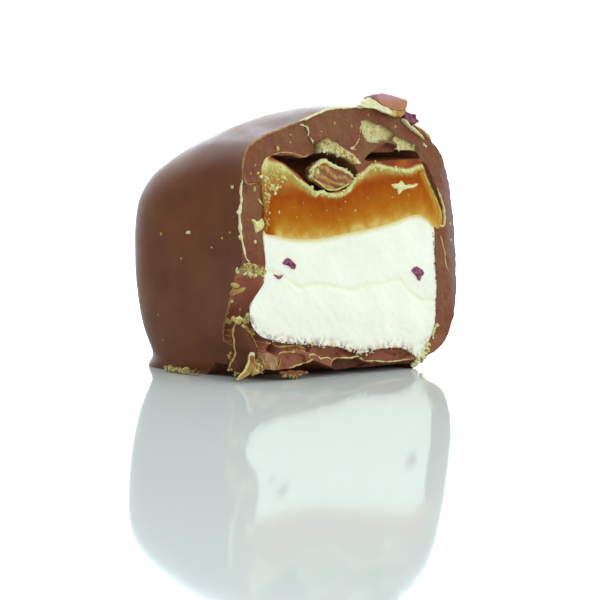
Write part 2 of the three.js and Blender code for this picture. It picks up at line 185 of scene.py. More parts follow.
# Plates of chocolate that flaked off the bitten face or stand out of it: the outline, how deep and how pale.
FACE_PLATES = {
    "crown_patch": {
        "outline": [
            (2.3, 23.6), (3.2, 23.7), (4.7, 23.3), (6.6, 22.7), (6.9, 22.4), (6.4, 22), (5.5, 21.8),
            (3.9, 21.5), (3.1, 21.7), (2.6, 22.2), (2.2, 22.9),
        ],
        "deep": 0.5, "pale": 0.95,
    },
    "shoulder_patch": {
        "outline": [
            (7, 22.3), (8.6, 21.8), (10, 21.3), (10.5, 21), (9.7, 20.9), (8.7, 20.9), (7.7, 20.8),
            (7.4, 21.1), (7.3, 21.5), (6.6, 21.8),
        ],
        "deep": 0.35, "pale": 0.9,
    },
    "caramel_side": {
        "outline": [
            (10.5, 19.8), (11.2, 19.6), (12, 18.2), (12.8, 16.7), (13.2, 15.2), (12.9, 14.4), (12.4, 14.4),
            (12.3, 15.9), (11.4, 17.4), (10.7, 18.6),
        ],
        "deep": 0.25, "pale": 0.0,
    },
    "hollow_ledge": {
        "outline": [
            (-4.2, 21.3), (-3.7, 21.7), (-3, 21.8), (-2.2, 21.5), (-0.9, 21), (0.2, 20.5), (1.1, 19.9),
            (1.2, 19.5), (0.4, 19.5), (-1, 20), (-3.6, 20.4), (-4.4, 20.4),
        ],
        "deep": -0.6, "pale": 0.85,
    },
    "crown_plate": {
        "outline": [
            (-5.6, 23.6), (-5.4, 22.8), (-5.1, 22.2), (-4.9, 21.7), (-4.3, 21.3), (-3, 21.7), (-0.9, 21),
            (1, 20.1), (0.6, 20.9), (1.2, 21.3), (1.7, 21.9), (2, 22.8), (2.2, 24), (2, 25.6), (-5, 25.6),
        ],
        "deep": -0.16, "pale": 0.0,
    },
    "wall_step": {
        "outline": [(-16, 17.8), (-13.6, 17.7), (-12, 17.7), (-11, 17), (-11, 9), (-16, 9)],
        "deep": 0.12, "pale": 0.0,
    },
    "left_base_recess": {
        "outline": [
            (-12.9, 3.9), (-11, 3.9), (-7.2, 3.4), (-6.8, 2.7), (-7.4, 2.2), (-7.8, 2.4), (-8.6, 2.6),
            (-9.9, 2.5), (-10.7, 2.5), (-11.4, 3.3),
        ],
        "deep": 0.35, "pale": 0.0,
    },
    "right_base_recess": {
        "outline": [
            (-7.4, 3.3), (-2, 2.9), (1.5, 2.5), (6.5, 2.4), (7, 1.4), (4.9, 0.95), (2.9, 0.95), (1.7, 1.15),
            (0.4, 1.15), (-0.6, 1.65), (-1.8, 1.65), (-3.7, 1.8), (-5.3, 1.75), (-5.9, 1.7), (-6.2, 2),
            (-7, 2.1), (-7.6, 1.9),
        ],
        "deep": 0.28, "pale": 0.0,
    },
    "foot_corner": {
        "outline": [
            (-13.6, 2.9), (-13, 2.5), (-12.2, 2.6), (-11.3, 2.1), (-11.4, 1.4), (-12.3, 0.9), (-13.6, 0.9),
            (-14.3, 1.4),
        ],
        "deep": -0.2, "pale": 0.25,
    },
}


def hump(distance, width):
    """1 where the distance is 0, fading to nothing at about twice the width."""
    return np.exp(-((distance / width) ** 2))


def smoothstep(x, low, high):
    """0 up to a low value, 1 from a high one, smooth between."""
    t = np.clip((x - low) / (high - low), 0, 1)
    return t * t * (3 - 2 * t)


def all_round(count):
    """Angles at even steps round a circle."""
    return np.linspace(0, 2 * np.pi, count, endpoint=False)


def unit(rows):
    """Each row as a direction of length 1."""
    return rows / np.linalg.norm(rows, axis=1, keepdims=True)


def laid_at(pairs, y):
    """Pairs of X and height as points at a Y."""
    return np.column_stack([pairs[:, 0], np.broadcast_to(y, len(pairs)), pairs[:, 1]])


def scattered(ix, iy, iz, salt):
    """A repeatable number from 0 to 1 for each lattice point."""
    s = np.sin(ix * 127.1 + iy * 311.7 + iz * 74.7 + salt * 19.19) * 43758.5453
    return s - np.floor(s)


def unevenness(x, y, z):
    """Smooth gradient noise, about -0.7 to 0.7, with one swell to a unit."""
    x, y, z = np.broadcast_arrays(np.asarray(x, float), y, z)
    cell = [np.floor(v) for v in (x, y, z)]
    part = [v - c for v, c in zip((x, y, z), cell)]
    fade = [p**3 * (p * (p * 6 - 15) + 10) for p in part]
    total = np.zeros(x.shape)
    for corner in itertools.product((0, 1), repeat=3):
        at = [c + k for c, k in zip(cell, corner)]
        pull = sum((2 * scattered(*at, salt) - 1) * (p - k) for salt, (p, k) in enumerate(zip(part, corner)))
        weight = math.prod(f if k else 1 - f for f, k in zip(fade, corner))
        total += weight * pull
    return total


def swells(x, z, layers):
    """Unevenness of several sizes on the bitten face, added up."""
    return sum(deep * unevenness(x * across, place, z * up) for deep, across, up, place in layers)


def facets(x, z):
    """Flat facets of chance size and tilt, as far in or out as half a millimetre."""
    best = np.full(np.shape(x), 9.0)
    height = np.zeros(np.shape(x))
    for right, up in itertools.product((-1, 0, 1), repeat=2):
        cell_x, cell_z = np.floor(x) + right, np.floor(z) + up
        from_x = x - cell_x - scattered(cell_x, cell_z, 0, 1)
        from_z = z - cell_z - scattered(cell_x, cell_z, 0, 2)
        distance = from_x**2 + from_z**2
        tilt_x = scattered(cell_x, cell_z, 0, 3) - 0.5
        tilt_z = scattered(cell_x, cell_z, 0, 4) - 0.5
        level = 0.45 * (scattered(cell_x, cell_z, 0, 5) - 0.5) + 0.6 * tilt_x * from_x + 0.8 * tilt_z * from_z
        nearer = distance < best
        best = np.where(nearer, distance, best)
        height = np.where(nearer, level, height)
    return height


def inside(x, z, outline):
    """Where points of the face lie within an outline."""
    within = np.zeros(np.shape(x), bool)
    for (ax, az), (bx, bz) in zip(outline, outline[1:] + outline[:1]):
        crosses = (az > z) != (bz > z)
        run = np.where(bz == az, 1, bz - az)
        within ^= crosses & (x < ax + (z - az) * (bx - ax) / run)
    return within


def evenly(line, count, endpoint=True):
    """A count of points at equal distances along a line."""
    travelled = np.concatenate([[0], np.cumsum(np.linalg.norm(np.diff(line, axis=0), axis=1))])
    wanted = np.linspace(0, travelled[-1], count, endpoint=endpoint)
    return np.stack([np.interp(wanted, travelled, axis) for axis in line.T], axis=1)


def length_of(line):
    return np.linalg.norm(np.diff(line, axis=0), axis=1).sum()


def curve_through(pairs, count, closed=False, evenness=0.5):
    """A smooth curve through the pairs, as points at equal distances along it."""
    knots = np.array(pairs, float)
    stretches = len(knots) if closed else len(knots) - 1
    t = np.linspace(0, stretches, 60 * stretches + 1)
    start = np.minimum(t.astype(int), stretches - 1)
    share = (t - start)[:, None]
    index = start[:, None] + np.arange(-1, 3)
    index = index % len(knots) if closed else np.clip(index, 0, len(knots) - 1)
    a, b, c, d = np.moveaxis(knots[index], 1, 0)
    here, before, after = (
        np.linalg.norm(step, axis=1, keepdims=True) ** evenness for step in (c - b, b - a, d - c)
    )
    before, after = (np.where(gap < 1e-4, here, gap) for gap in (before, after))
    leaving = ((b - a) / before - (c - a) / (before + here) + (c - b) / here) * here
    arriving = ((c - b) / here - (d - b) / (here + after) + (d - c) / after) * here
    s2, s3 = share**2, share**3
    fine = (2 * s3 - 3 * s2 + 1) * b + (s3 - 2 * s2 + share) * leaving
    fine = fine + (3 * s2 - 2 * s3) * c + (s3 - s2) * arriving
    return evenly(fine, count, endpoint=not closed)


def squared(cosine, sine, power):
    """How far a square with soft corners lies out in a direction, against the unit circle."""
    return (np.abs(cosine) ** power + np.abs(sine) ** power) ** (-1 / power)


SIDE_CURVES = [
    curve_through(profile, HEIGHT_STEPS + 1, evenness=0)
    for profile in (LEFT_PROFILE, RIGHT_PROFILE, BACK_PROFILE)
]


def outer_point(angle, step):
    """Points of the coating's outside, one for each angle round it and step up its side profiles."""
    c, s = np.cos(angle), np.sin(angle)
    shares = [np.where(c < 0, c * c, 0), np.where(c > 0, c * c, 0), s * s]
    reach, height = (sum(share * side[step, k] for share, side in zip(shares, SIDE_CURVES)) for k in (0, 1))
    power = WALL_SQUARENESS + (CROWN_SQUARENESS - WALL_SQUARENESS) * smoothstep(height, *SQUARE_TURNS_ROUND)
    waves = 1 + 0.01 * unevenness(c * 1.7 + 4, s * 1.7, height / 8)
    waves = waves + 0.003 * unevenness(c * 5, s * 5, height / 3)
    out = reach * squared(c, s, power) * waves
    return np.stack([out * c, out * s, height], axis=-1)


def plates_at(x, z):
    """Each plate of the bitten face with where points lie on it, inside its jagged outline."""
    jagged_x, jagged_z = (v + 0.12 * unevenness(x * 3, place, z * 3) for v, place in ((x, 11), (z, 17)))
    return [(plate, inside(jagged_x, jagged_z, plate["outline"])) for plate in FACE_PLATES.values()]


def chocolate_depth(x, z):
    """How deep the bite went into the chocolate: a leaning face with crags, plates and a broken left wall."""
    wall = BROKEN_WALL
    from_corner = x + wall["nearer_at_foot"] * (1 - smoothstep(z, *wall["foot"]))
    across = 1 - smoothstep(from_corner, wall["outside"], wall["inside"])
    down = 1 - smoothstep(z, wall["below"] - wall["rounded"], wall["below"] + wall["rises"])
    set_back = wall["shelf"] + wall["back_per_down"] * np.maximum(0, wall["below"] - wall["rounded"] - z)
    at_base = (1 - smoothstep(z, *FLAKY_BASE["up_to"])) * (1 - smoothstep(x, *FLAKY_BASE["left_of"]))
    flaky = facets(x / FLAKY_BASE["facet_width"], z / FLAKY_BASE["facet_height"])
    flaky = flaky - BASE_SWELLING["out"] * hump(x - BASE_SWELLING["x"], BASE_SWELLING["half_width"])
    pit = PIT["deep"] * hump(x - PIT["x"], PIT["half_width"]) * hump(z - PIT["height"], PIT["half_height"])
    under = smoothstep(height_along(BASE_RIDGE, x) - z, 0, TURN_BACK["over"])
    pit = pit + TURN_BACK["deep"] * under * smoothstep(x, *TURN_BACK["from"])
    depth = BITE_LEAN * (z - BITE_PIVOT) + set_back * across * down
    depth = depth + swells(x, z, CRAGS) + swells(x, z, GRAIN) + flaky * at_base + pit
    for plate, within in plates_at(x, z):
        rough = 1 + 0.5 * plate["pale"] * unevenness(x * 4, 23, z * 4)
        depth = depth + plate["deep"] * rough * within
    return depth


def paleness(x, z):
    """Where crumbled sugar and fat show pale on the broken chocolate, from 0 to 1."""
    pale = np.zeros(np.shape(x))
    for plate, within in plates_at(x, z):
        pale = np.maximum(pale, plate["pale"] * within)
    shelf = hump(z - PALE_SHELF["height"], PALE_SHELF["half_height"]) * smoothstep(-x, *PALE_SHELF["left_of"])
    return np.clip(np.maximum(pale, PALE_SHELF["pale"] * shelf), 0, 1)


def painted_light(x, z):
    """Painted light: where the set-back broken wall and the base are painted a lighter, warmer brown, from 0
    to 1.
    """
    wall = smoothstep(-x, *PAINTED_LIGHT_WALL["left_of"]) * (1 - smoothstep(z, *PAINTED_LIGHT_WALL["below"]))
    base = 1 - smoothstep(z, *PAINTED_LIGHT_BASE["below"])
    return np.maximum(wall, PAINTED_LIGHT_BASE["share"] * base)


def soft_depth(x, z):
    """How deep the bite went into the caramel and the marshmallow."""
    stands_out = MARSHMALLOW_FORWARD
    forward = stands_out["by"] * hump(z - stands_out["height"], stands_out["half_height"])
    forward = forward * smoothstep(x, *stands_out["right_of"])
    crease = CREASE["depth"] * hump(z - height_along(CREASE_LINE, x), CREASE["half_width"])
    foam = 0.025 * unevenness(x * 4, 3, z * 4)
    return BITE_LEAN * (z - BITE_PIVOT) + crease - forward + swells(x, z, SOFT_SWELLS) + foam


def height_along(line, x):
    """The height of a line on the bitten face at each X."""
    return np.interp(x, *curve_through(line, 240).T)


def placed(name, data):
    """A new object in the scene, made of a mesh, a lamp or a camera."""
    thing = bpy.data.objects.new(name, data)
    bpy.context.scene.collection.objects.link(thing)
    return thing


def new_piece(name, points, faces, *finishes):
    """A mesh object in the bite's frame, with its faces turned outward."""
    mesh = bpy.data.meshes.new(name)
    mesh.from_pydata(np.asarray(points).tolist(), [], faces)
    for finish in finishes:
        mesh.materials.append(finish)
    shape = bmesh.new()
    shape.from_mesh(mesh)
    bmesh.ops.recalc_face_normals(shape, faces=shape.faces)
    shape.to_mesh(mesh)
    shape.free()
    return placed(name, mesh)


def ring_faces(count, around):
    """The faces of a closed form through rings of points, flat at its two ends."""
    row = np.arange(count - 1)[:, None] * around
    here = np.arange(around)
    beside = np.roll(here, -1)
    quads = np.stack([row + here, row + beside, row + around + beside, row + around + here], axis=-1)
    ends = [list(range(around)), list(range((count - 1) * around, count * around))]
    return quads.reshape(-1, 4).tolist() + ends


def ringed(name, rings, *finishes):
    """A closed form through rings that all have the same number of points."""
    return new_piece(name, np.concatenate(rings), ring_faces(len(rings), len(rings[0])), *finishes)


def outer_form():
    """The outside of the whole sweet before the bite."""
    angle = all_round(ROUND_STEPS)
    rings = [outer_point(angle, np.full(ROUND_STEPS, step)) for step in range(1, HEIGHT_STEPS)]
    return ringed("outer_form", rings, ENROBED)


def pooled_foot():
    """The pool of chocolate that set round the foot, with a ragged lip."""
    angle = all_round(ROUND_STEPS * 2)
    edge = foot_edge(angle)
    x, y = edge.T
    wider = FOOT["spread"] * smoothstep(y, *FOOT["at_rear"]) * (1 - smoothstep(x, *FOOT["at_left"]))
    ragged = 0.18 * unevenness(x * 0.8, y * 0.8, 3) + 0.1 * unevenness(x * 2.7, y * 2.7, 5)
    length = np.linalg.norm(edge, axis=1) + wider - FOOT["tucked_in"] + ragged
    rings = []
    for outward, height in curve_through(FOOT_LIP, 12):
        lumps = 0.1 * unevenness(x * 1.7, y * 1.7, height * 2 + 9) * (height > 0)
        reach = (length + outward + lumps)[:, None]
        rings.append(np.column_stack([unit(edge) * reach, np.full(len(angle), height * FOOT["height"])]))
    return ringed("pooled_foot", rings, ENROBED)


def foot_edge(angle):
    """The outside in each direction, just above the base."""
    steps = np.arange(1, HEIGHT_STEPS // 2)
    grid = outer_point(angle[:, None], np.broadcast_to(steps, (len(angle), len(steps))))
    first = np.argmax(grid[..., 2] >= FOOT["height"] / 2, axis=1)
    return grid[np.arange(len(angle)), first, :2]


def outward_of(outline):
    """The direction out of a closed outline at each of its points."""
    along = unit(np.roll(outline, -1, axis=0) - np.roll(outline, 1, axis=0))
    return np.column_stack([along[:, 1], -along[:, 0]])


def outline_of(pairs, outward=0.0, spacing=0.15, frayed=0.0, seed=0):
    """A closed outline on the face, moved outward by a distance and frayed."""
    if area_of(pairs) < 0:
        pairs = pairs[::-1]
    rough = curve_through(pairs, 400, closed=True)
    length = np.linalg.norm(rough - np.roll(rough, 1, axis=0), axis=1).sum()
    at = curve_through(pairs, int(length / spacing), closed=True)
    x, z = at.T
    fray = frayed * (unevenness(x * 2.6, z * 2.6, seed) + 0.6 * unevenness(x * 6, z * 6, seed))
    return at + outward_of(at) * (outward + fray)[:, None]


def area_of(pairs):
    """The area inside an outline, less than 0 where it runs clockwise."""
    x, z = np.array(pairs, float).T
    return 0.5 * np.sum(x * np.roll(z, -1) - np.roll(x, -1) * z)


def slab(name, outline, front, back, *finishes):
    """An outline in X and height, from front to back."""
    return ringed(name, [laid_at(outline, y) for y in (front, back)], *finishes)


def filling_space(name, outward):
    """The room that the filling takes, with round upright corners and a softer top edge."""
    angle = all_round(160)
    c, s = np.cos(angle), np.sin(angle)
    out = squared(c, s, FILLING["squareness"])
    rings = []
    for share, height in FILLING_PROFILE:
        across = share * out * c * (FILLING["half_width"] + outward)
        deep = share * out * s * (FILLING["back"] + outward)
        rings.append(np.column_stack([across, deep, np.full(len(angle), height)]))
    return ringed(name, rings)


def narrowing(name, *finishes, outline, depth, front=0.0, roundness=2, outward=0.0, rough=0.05):
    """An outline on the bitten face that goes back to a depth and narrows to its end, with uneven walls."""
    edge = outline_of(outline, outward, spacing=0.2, frayed=1.6 * rough, seed=2)
    centre = np.mean(outline, axis=0)
    back = depth + outward
    rings = []
    for y in np.concatenate([[PAST_BITE], np.linspace(HOLLOWS_START, back, 40)]):
        share = max(0, y - front) / (back - front)
        width = (1 - 0.96 * share**roundness) ** (1 / roundness)
        lumps = rough * unevenness(edge[:, 0] * 1.1, y * 1.1, edge[:, 1] * 1.1)[:, None]
        rings.append(laid_at(centre + (edge - centre) * width * (1 + lumps), y))
    return ringed(name, rings, *finishes)


def relief_block(name, depth, *finishes):
    """A block in front of the bite, its far side shaped by how deep the bite reached."""
    x, z = (np.arange(*span, RELIEF_STEP) for span in (RELIEF_X, RELIEF_Z))
    grid_x, grid_z = np.meshgrid(x, z, indexing="ij")
    far = np.stack([grid_x, depth(grid_x, grid_z), grid_z], axis=-1).reshape(-1, 3)
    number = np.arange(len(far)).reshape(grid_x.shape)
    cells = np.stack([number[:-1, :-1], number[1:, :-1], number[1:, 1:], number[:-1, 1:]], axis=-1)
    rim = np.concatenate([number[:-1, 0], number[-1, :-1], number[:0:-1, -1], number[0, :0:-1]])
    near = far[rim].copy()
    near[:, 1] = RELIEF_FRONT
    front = len(far) + np.arange(len(rim))
    walls = np.stack([rim, np.roll(rim, -1), np.roll(front, -1), front], axis=-1)
    faces = cells.reshape(-1, 4).tolist() + walls.tolist() + [front.tolist()]
    return new_piece(name, np.concatenate([far, near]), faces, *finishes)


def box_form(name, low, high, *finishes):
    corners = np.array(list(itertools.product(*zip(low, high))))
    faces = [(0, 1, 3, 2), (4, 6, 7, 5), (0, 4, 5, 1), (2, 3, 7, 6), (0, 2, 6, 4), (1, 5, 7, 3)]
    return new_piece(name, corners, faces, *finishes)


def undercut(name, *finishes):
    """The wedge that lifts the base along the bite, further back at its left end."""
    rings = []
    for x in np.linspace(UNDERCUT["left_end"], UNDERCUT["right_end"], 240):
        at_left = 1 - smoothstep(x, *UNDERCUT["left_part"])
        further = (UNDERCUT["left_depth"] - UNDERCUT["depth"]) * at_left
        back = UNDERCUT["depth"] + further + 0.25 * unevenness(x * 0.9, 4, 1)
        lift = np.interp(x, *np.array(UNDERCUT_HEIGHTS).T) + 0.1 * unevenness(x * 1.7, 9, 2)
        roof = UNDERCUT_ROOF["back"] + UNDERCUT_ROOF["back_at_left"] * further
        section = np.array([(PAST_BITE, -1), (back + 1, -1), (back, 0), (roof, lift), (PAST_BITE, lift)])
        rings.append(np.column_stack([np.full(len(section), x), section]))
    return ringed(name, rings, *finishes)


def bulge(name, outward):
    return narrowing(name, outward=outward, rough=0.015, **BULGE)


def worked(piece, *steps):
    """Does a row of cuts and joins on a piece, each an operation and a tool."""
    for operation, tool in steps:
        change = piece.modifiers.new(tool.name, "BOOLEAN")
        change.operation = operation
        change.solver = "MANIFOLD"
        change.material_mode = "TRANSFER"
        change.object = tool
    applied(piece)


def applied(piece):
    """Makes a piece's modifiers part of its mesh."""
    evaluated = piece.evaluated_get(bpy.context.evaluated_depsgraph_get())
    made = bpy.data.meshes.new_from_object(evaluated)
    piece.modifiers.clear()
    piece.data = made


def discard(*tools):
    for tool in tools:
        bpy.data.objects.remove(tool)


def in_place(piece, node=None, crisp=38):
    """Puts a finished piece in the shared frame, in metres, and makes it ride with the sweet."""
    piece.data.transform(Matrix.Scale(0.001, 4) @ Matrix.Translation(-BOX_MIDDLE))
    piece.data.shade_smooth()
    piece.data.set_sharp_from_angle(angle=math.radians(crisp))
    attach(piece, "root")
    if node:
        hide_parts(node)


def linear(hex_colour):
    """An sRGB hex colour as linear red, green, blue and alpha."""
    parts = [int(hex_colour[i : i + 2], 16) / 255 for i in (1, 3, 5)]
    return (*[p / 12.92 if p <= 0.04045 else ((p + 0.055) / 1.055) ** 2.4 for p in parts], 1.0)


def add(tree, kind, inputs=(), **settings):
    """Adds a shader node: an input given a socket is linked, any other is set."""
    node = tree.nodes.new("ShaderNode" + kind)
    for name, value in settings.items():
        setattr(node, name, value)
    for name, value in dict(inputs).items():
        if isinstance(value, bpy.types.NodeSocket):
            tree.links.new(value, node.inputs[name])
        else:
            node.inputs[name].default_value = value
    return node


def new_finish(name):
    """An empty material with its output node and object coordinates."""
    finish = bpy.data.materials.new(name)
    finish.use_nodes = True
    tree = finish.node_tree
    tree.nodes.clear()
    return finish, tree, add(tree, "TexCoord").outputs["Object"]


def per(millimetres):
    """The texture scale at which one swell of a pattern has this size."""
    return 1000 / millimetres


MIX_FACTOR, MIX_A, MIX_B, MIX_RESULT = 0, 6, 7, 2


def tinted(tree, base, *layers):
    """A colour with others laid over it, each by its share. Colours are hex or come from other nodes."""
    for share, over in layers:
        base, over = (linear(colour) if isinstance(colour, str) else colour for colour in (base, over))
        mix = add(tree, "Mix", {MIX_FACTOR: share, MIX_A: base, MIX_B: over}, data_type="RGBA")
        base = mix.outputs[MIX_RESULT]
    return base


def end_finish(tree, colour, roughness, ior, gloss, relief=None, glow=None):
    """Ends a finish: colour and gloss, a relief of a height, strength and depth, and light in its skin."""
    inputs = {"Base Color": colour, "Roughness": roughness, "IOR": ior, "Specular IOR Level": gloss}
    if relief:
        bump = add(tree, "Bump", dict(zip(("Height", "Strength", "Distance"), relief)))
        inputs["Normal"] = bump.outputs["Normal"]
    if glow:
        inputs.update(zip(("Subsurface Weight", "Subsurface Radius", "Subsurface Scale"), glow))
    shader = add(tree, "BsdfPrincipled", inputs)
    add(tree, "OutputMaterial", {"Surface": shader.outputs["BSDF"]})


def speckle(tree, at, size, low, high, most=1.0, detail=3.0):
    """Noise of a size in millimetres, turned to 0 below a level and to its most above another."""
    texture = add(tree, "TexNoise", {"Vector": at, "Scale": per(size), "Detail": detail})
    level = add(tree, "MapRange", {
        "Value": texture.outputs["Fac"], "From Min": low, "From Max": high, "To Max": most,
    })
    return level.outputs["Result"]


def kept_value(tree, name):
    """A number that the mesh keeps for each of its corners."""
    return add(tree, "Attribute", attribute_name=name).outputs["Fac"]


def ramp_of(tree, value, *stops):
    """A colour that changes through stops, each a place from 0 to 1 with its hex colour."""
    ramp = add(tree, "ValToRGB", {"Fac": value})
    row = ramp.color_ramp.elements
    for place, colour in stops[1:-1]:
        row.new(place).color = linear(colour)
    row[0].position, row[0].color = stops[0][0], linear(stops[0][1])
    row[-1].position, row[-1].color = stops[-1][0], linear(stops[-1][1])
    return ramp.outputs["Color"]


def enrobed_milk_chocolate():
    """Milk chocolate poured over the sweet and set in cool air: smooth, soft gloss, faint mottling."""
    finish, tree, at = new_finish("enrobed milk chocolate")
    colour = tinted(tree, "#6c3619", (speckle(tree, at, 5, 0.35, 0.65), "#7e4722"))
    dull = add(tree, "MapRange", {"Value": speckle(tree, at, 2.2, 0.4, 0.7), "To Min": 0.35, "To Max": 0.45})
    skin = add(tree, "TexNoise", {"Vector": at, "Scale": per(0.6), "Detail": 4.0})
    relief = (skin.outputs["Fac"], 0.12, 0.00005)
    end_finish(tree, colour, dull.outputs["Result"], 1.46, 0.34, relief)
    return finish


def bitten_milk_chocolate():
    """The same chocolate where it snapped: dull, lighter, grainy, pale where it crumbled, with painted light,
    shade and sheen.
    """
    finish, tree, at = new_finish("bitten milk chocolate")
    crumbled = tinted(
        tree, "#d6c98c", (speckle(tree, at, 0.5, 0.35, 0.65), "#e6e2b0"),
        (speckle(tree, at, 0.9, 0.6, 0.68, most=0.8), "#96976f"),
    )
    colour = tinted(
        tree, "#7d4733", (speckle(tree, at, 4, 0.35, 0.65), "#835a3a"),
        (speckle(tree, at, 0.9, 0.5, 0.75, most=0.4), "#6b3a2a"),
        (speckle(tree, at, 0.35, 0.62, 0.72, most=0.6), "#a1704d"),
        # Painted light on the set-back wall and base; painted shade in the caramel's groove, under the base
        # ridge and low on the shard.
        (kept_value(tree, "painted_light"), "#9c5b48"), (kept_value(tree, "shaded"), "#5f3626"),
        # Painted sheen along the right edge of the bitten face.
        (kept_value(tree, "painted_sheen"), "#917474"), (kept_value(tree, "paleness"), crumbled),
    )
    grain = add(tree, "TexNoise", {"Vector": at, "Scale": per(0.18), "Detail": 5.0})
    end_finish(tree, colour, 0.6, 1.46, 0.12, relief=(grain.outputs["Fac"], 0.35, 0.00008))
    return finish


def cooked_caramel():
    """Soft caramel, cut by teeth: translucent amber, golden where it thins out, straw at its torn rim."""
    finish, tree, at = new_finish("cooked caramel")
    cloudy = speckle(tree, at, 1.3, 0.2, 0.8, most=0.16)
    shade = add(tree, "Math", {0: kept_value(tree, "shade"), 1: cloudy}, operation="ADD")
    shade = add(tree, "Math", {0: shade.outputs["Value"], 1: -0.08}, operation="ADD")
    amber = ramp_of(
        tree, shade.outputs["Value"],
        (0.0, "#dab768"), (0.06, "#c8983c"), (0.15, "#bb7a1c"), (0.28, "#b06208"), (0.56, "#9e4400"),
        (0.67, "#a8601c"), (0.8, "#b58a3e"), (0.9, "#bda858"), (1.0, "#d6d48a"),
    )
    drawn_out = add(tree, "Mapping", {"Vector": at, "Scale": (1.0, 1.0, 0.12)}).outputs["Vector"]
    # The caramel's top above its rim: a brown chocolate film, darkened further as painted shade.
    film_and_shade = tinted(tree, "#8a3c1c", (speckle(tree, at, 1.6, 0.4, 0.65), "#a85a24"))
    colour = tinted(
        tree, amber, (speckle(tree, drawn_out, 0.45, 0.55, 0.8, most=0.2), "#c98426"),
        (kept_value(tree, "film_and_shade"), film_and_shade),
    )
    end_finish(tree, colour, 0.3, 1.48, 0.06, glow=(0.15, (1.0, 0.45, 0.12), 0.0006))
    return finish


def whipped_marshmallow():
    """Sugar foam, cut: near white, dull, fine-pored, yellower under the caramel, painted shade at its crease,
    dust and painted shade below.
    """
    finish, tree, at = new_finish("whipped marshmallow")
    # Spots along the lower edge: mauve-brown for chocolate dust and painted shade, cream for crumbs.
    dusty, creamy = (
        add(tree, "Math", {0: kept_value(tree, "dust_and_shade"), 1: spots}, operation="MULTIPLY").outputs["Value"]
        for spots in (speckle(tree, at, 0.5, 0.42, 0.62, most=0.85), speckle(tree, at, 0.6, 0.56, 0.68))
    )
    colour = tinted(
        # The crease colour is painted shade along the crease line.
        tree, "#fdfdea", (speckle(tree, at, 3, 0.3, 0.7), "#f6f8e2"), (kept_value(tree, "crease"), "#f6f8d8"),
        # Yellower just under the caramel.
        (kept_value(tree, "yellowing"), "#ead48c"), (dusty, "#9a7076"), (creamy, "#e8d2a8"),
    )
    pores = add(tree, "TexVoronoi", {"Vector": at, "Scale": per(0.22)})
    relief = (pores.outputs["Distance"], 0.25, 0.00006)
    end_finish(tree, colour, 0.85, 1.4, 0.2, relief, glow=(0.3, (1.0, 1.0, 0.9), 0.0008))
    return finish


def crumbled_milk_chocolate():
    """Crumbs, flakes and thin edges of milk chocolate: dull and dusty, brown to straw where the fat shows."""
    finish, tree, at = new_finish("crumbled milk chocolate")
    dusty = speckle(tree, at, 0.35, 0.0, 1.0, most=0.45, detail=4.0)
    tone = add(tree, "Math", {0: kept_value(tree, "tone"), 1: dusty}, operation="ADD")
    tone = add(tree, "Math", {0: tone.outputs["Value"], 1: -0.225}, operation="ADD")
    colour = ramp_of(
        tree, tone.outputs["Value"], (0.0, "#965672"), (0.1, "#4c2519"), (0.22, "#7b412c"), (0.42, "#96603e"),
        (0.58, "#b78d4e"), (0.72, "#cbb866"), (0.86, "#d8d58c"), (1.0, "#e8e3b4"),
    )
    grain = add(tree, "TexNoise", {"Vector": at, "Scale": per(0.12), "Detail": 4.0})
    end_finish(tree, colour, 0.6, 1.46, 0.15, relief=(grain.outputs["Fac"], 0.3, 0.00005))
    return finish


def painted_highlight_chocolate():
    """A flake of milk chocolate in a pinkish, paler brown: a painted highlight."""
    finish, tree, at = new_finish("milk chocolate flake with painted highlight")
    colour = tinted(
        tree, "#bb7f5c", (kept_value(tree, "tone"), "#c08f97"),
        (speckle(tree, at, 0.8, 0.5, 0.75, most=0.4), "#a96c4e"),
    )
    end_finish(tree, colour, 0.4, 1.46, 0.25, glow=(0.2, (1.0, 0.5, 0.3), 0.0005))
    return finish


ENROBED = enrobed_milk_chocolate()
BITTEN = bitten_milk_chocolate()
CARAMEL = cooked_caramel()
MARSHMALLOW = whipped_marshmallow()
CRUMBLED = crumbled_milk_chocolate()
PAINTED_HIGHLIGHT = painted_highlight_chocolate()


def with_values(piece, name, values):
    """Keeps a number for each vertex, for a finish to read."""
    kept = piece.data.attributes.get(name) or piece.data.attributes.new(name, "FLOAT", "POINT")
    kept.data.foreach_set("value", values.astype(np.float32))


def corners_of(piece):
    points = np.empty(len(piece.data.vertices) * 3)
    piece.data.vertices.foreach_get("co", points)
    return points.reshape(-1, 3)


def move_corners(piece, points):
    piece.data.vertices.foreach_set("co", points.ravel())


above_seam = [(x, z + 0.25) for x, z in LAYER_SEAM]
marshmallow_outline = outline_of(above_seam + MARSHMALLOW_SIDES, frayed=0.09, seed=3)
caramel_outline = outline_of(LAYER_SEAM + CARAMEL_SIDES, frayed=0.07, seed=8)


def grown(outline, outward):
    """An outline moved outward by a little."""
    return outline + outward * outward_of(outline)


chocolate_bite = relief_block("chocolate_bite", chocolate_depth, BITTEN)
soft_bite = relief_block("soft_bite", soft_depth)
left_hollow = narrowing("left_hollow", BITTEN, **LEFT_HOLLOW)
right_hollow = narrowing("right_hollow", BITTEN, **RIGHT_HOLLOW)


def layer(name, outline, finish, outward):
    """A layer of the filling, running back through the sweet."""
    whole = slab(name, grown(outline, outward), PAST_BITE, FILLING["back"] + 1, finish)
    room = filling_space(name + "_room", outward)
    worked(whole, ("INTERSECT", room))
    discard(room)
    return whole


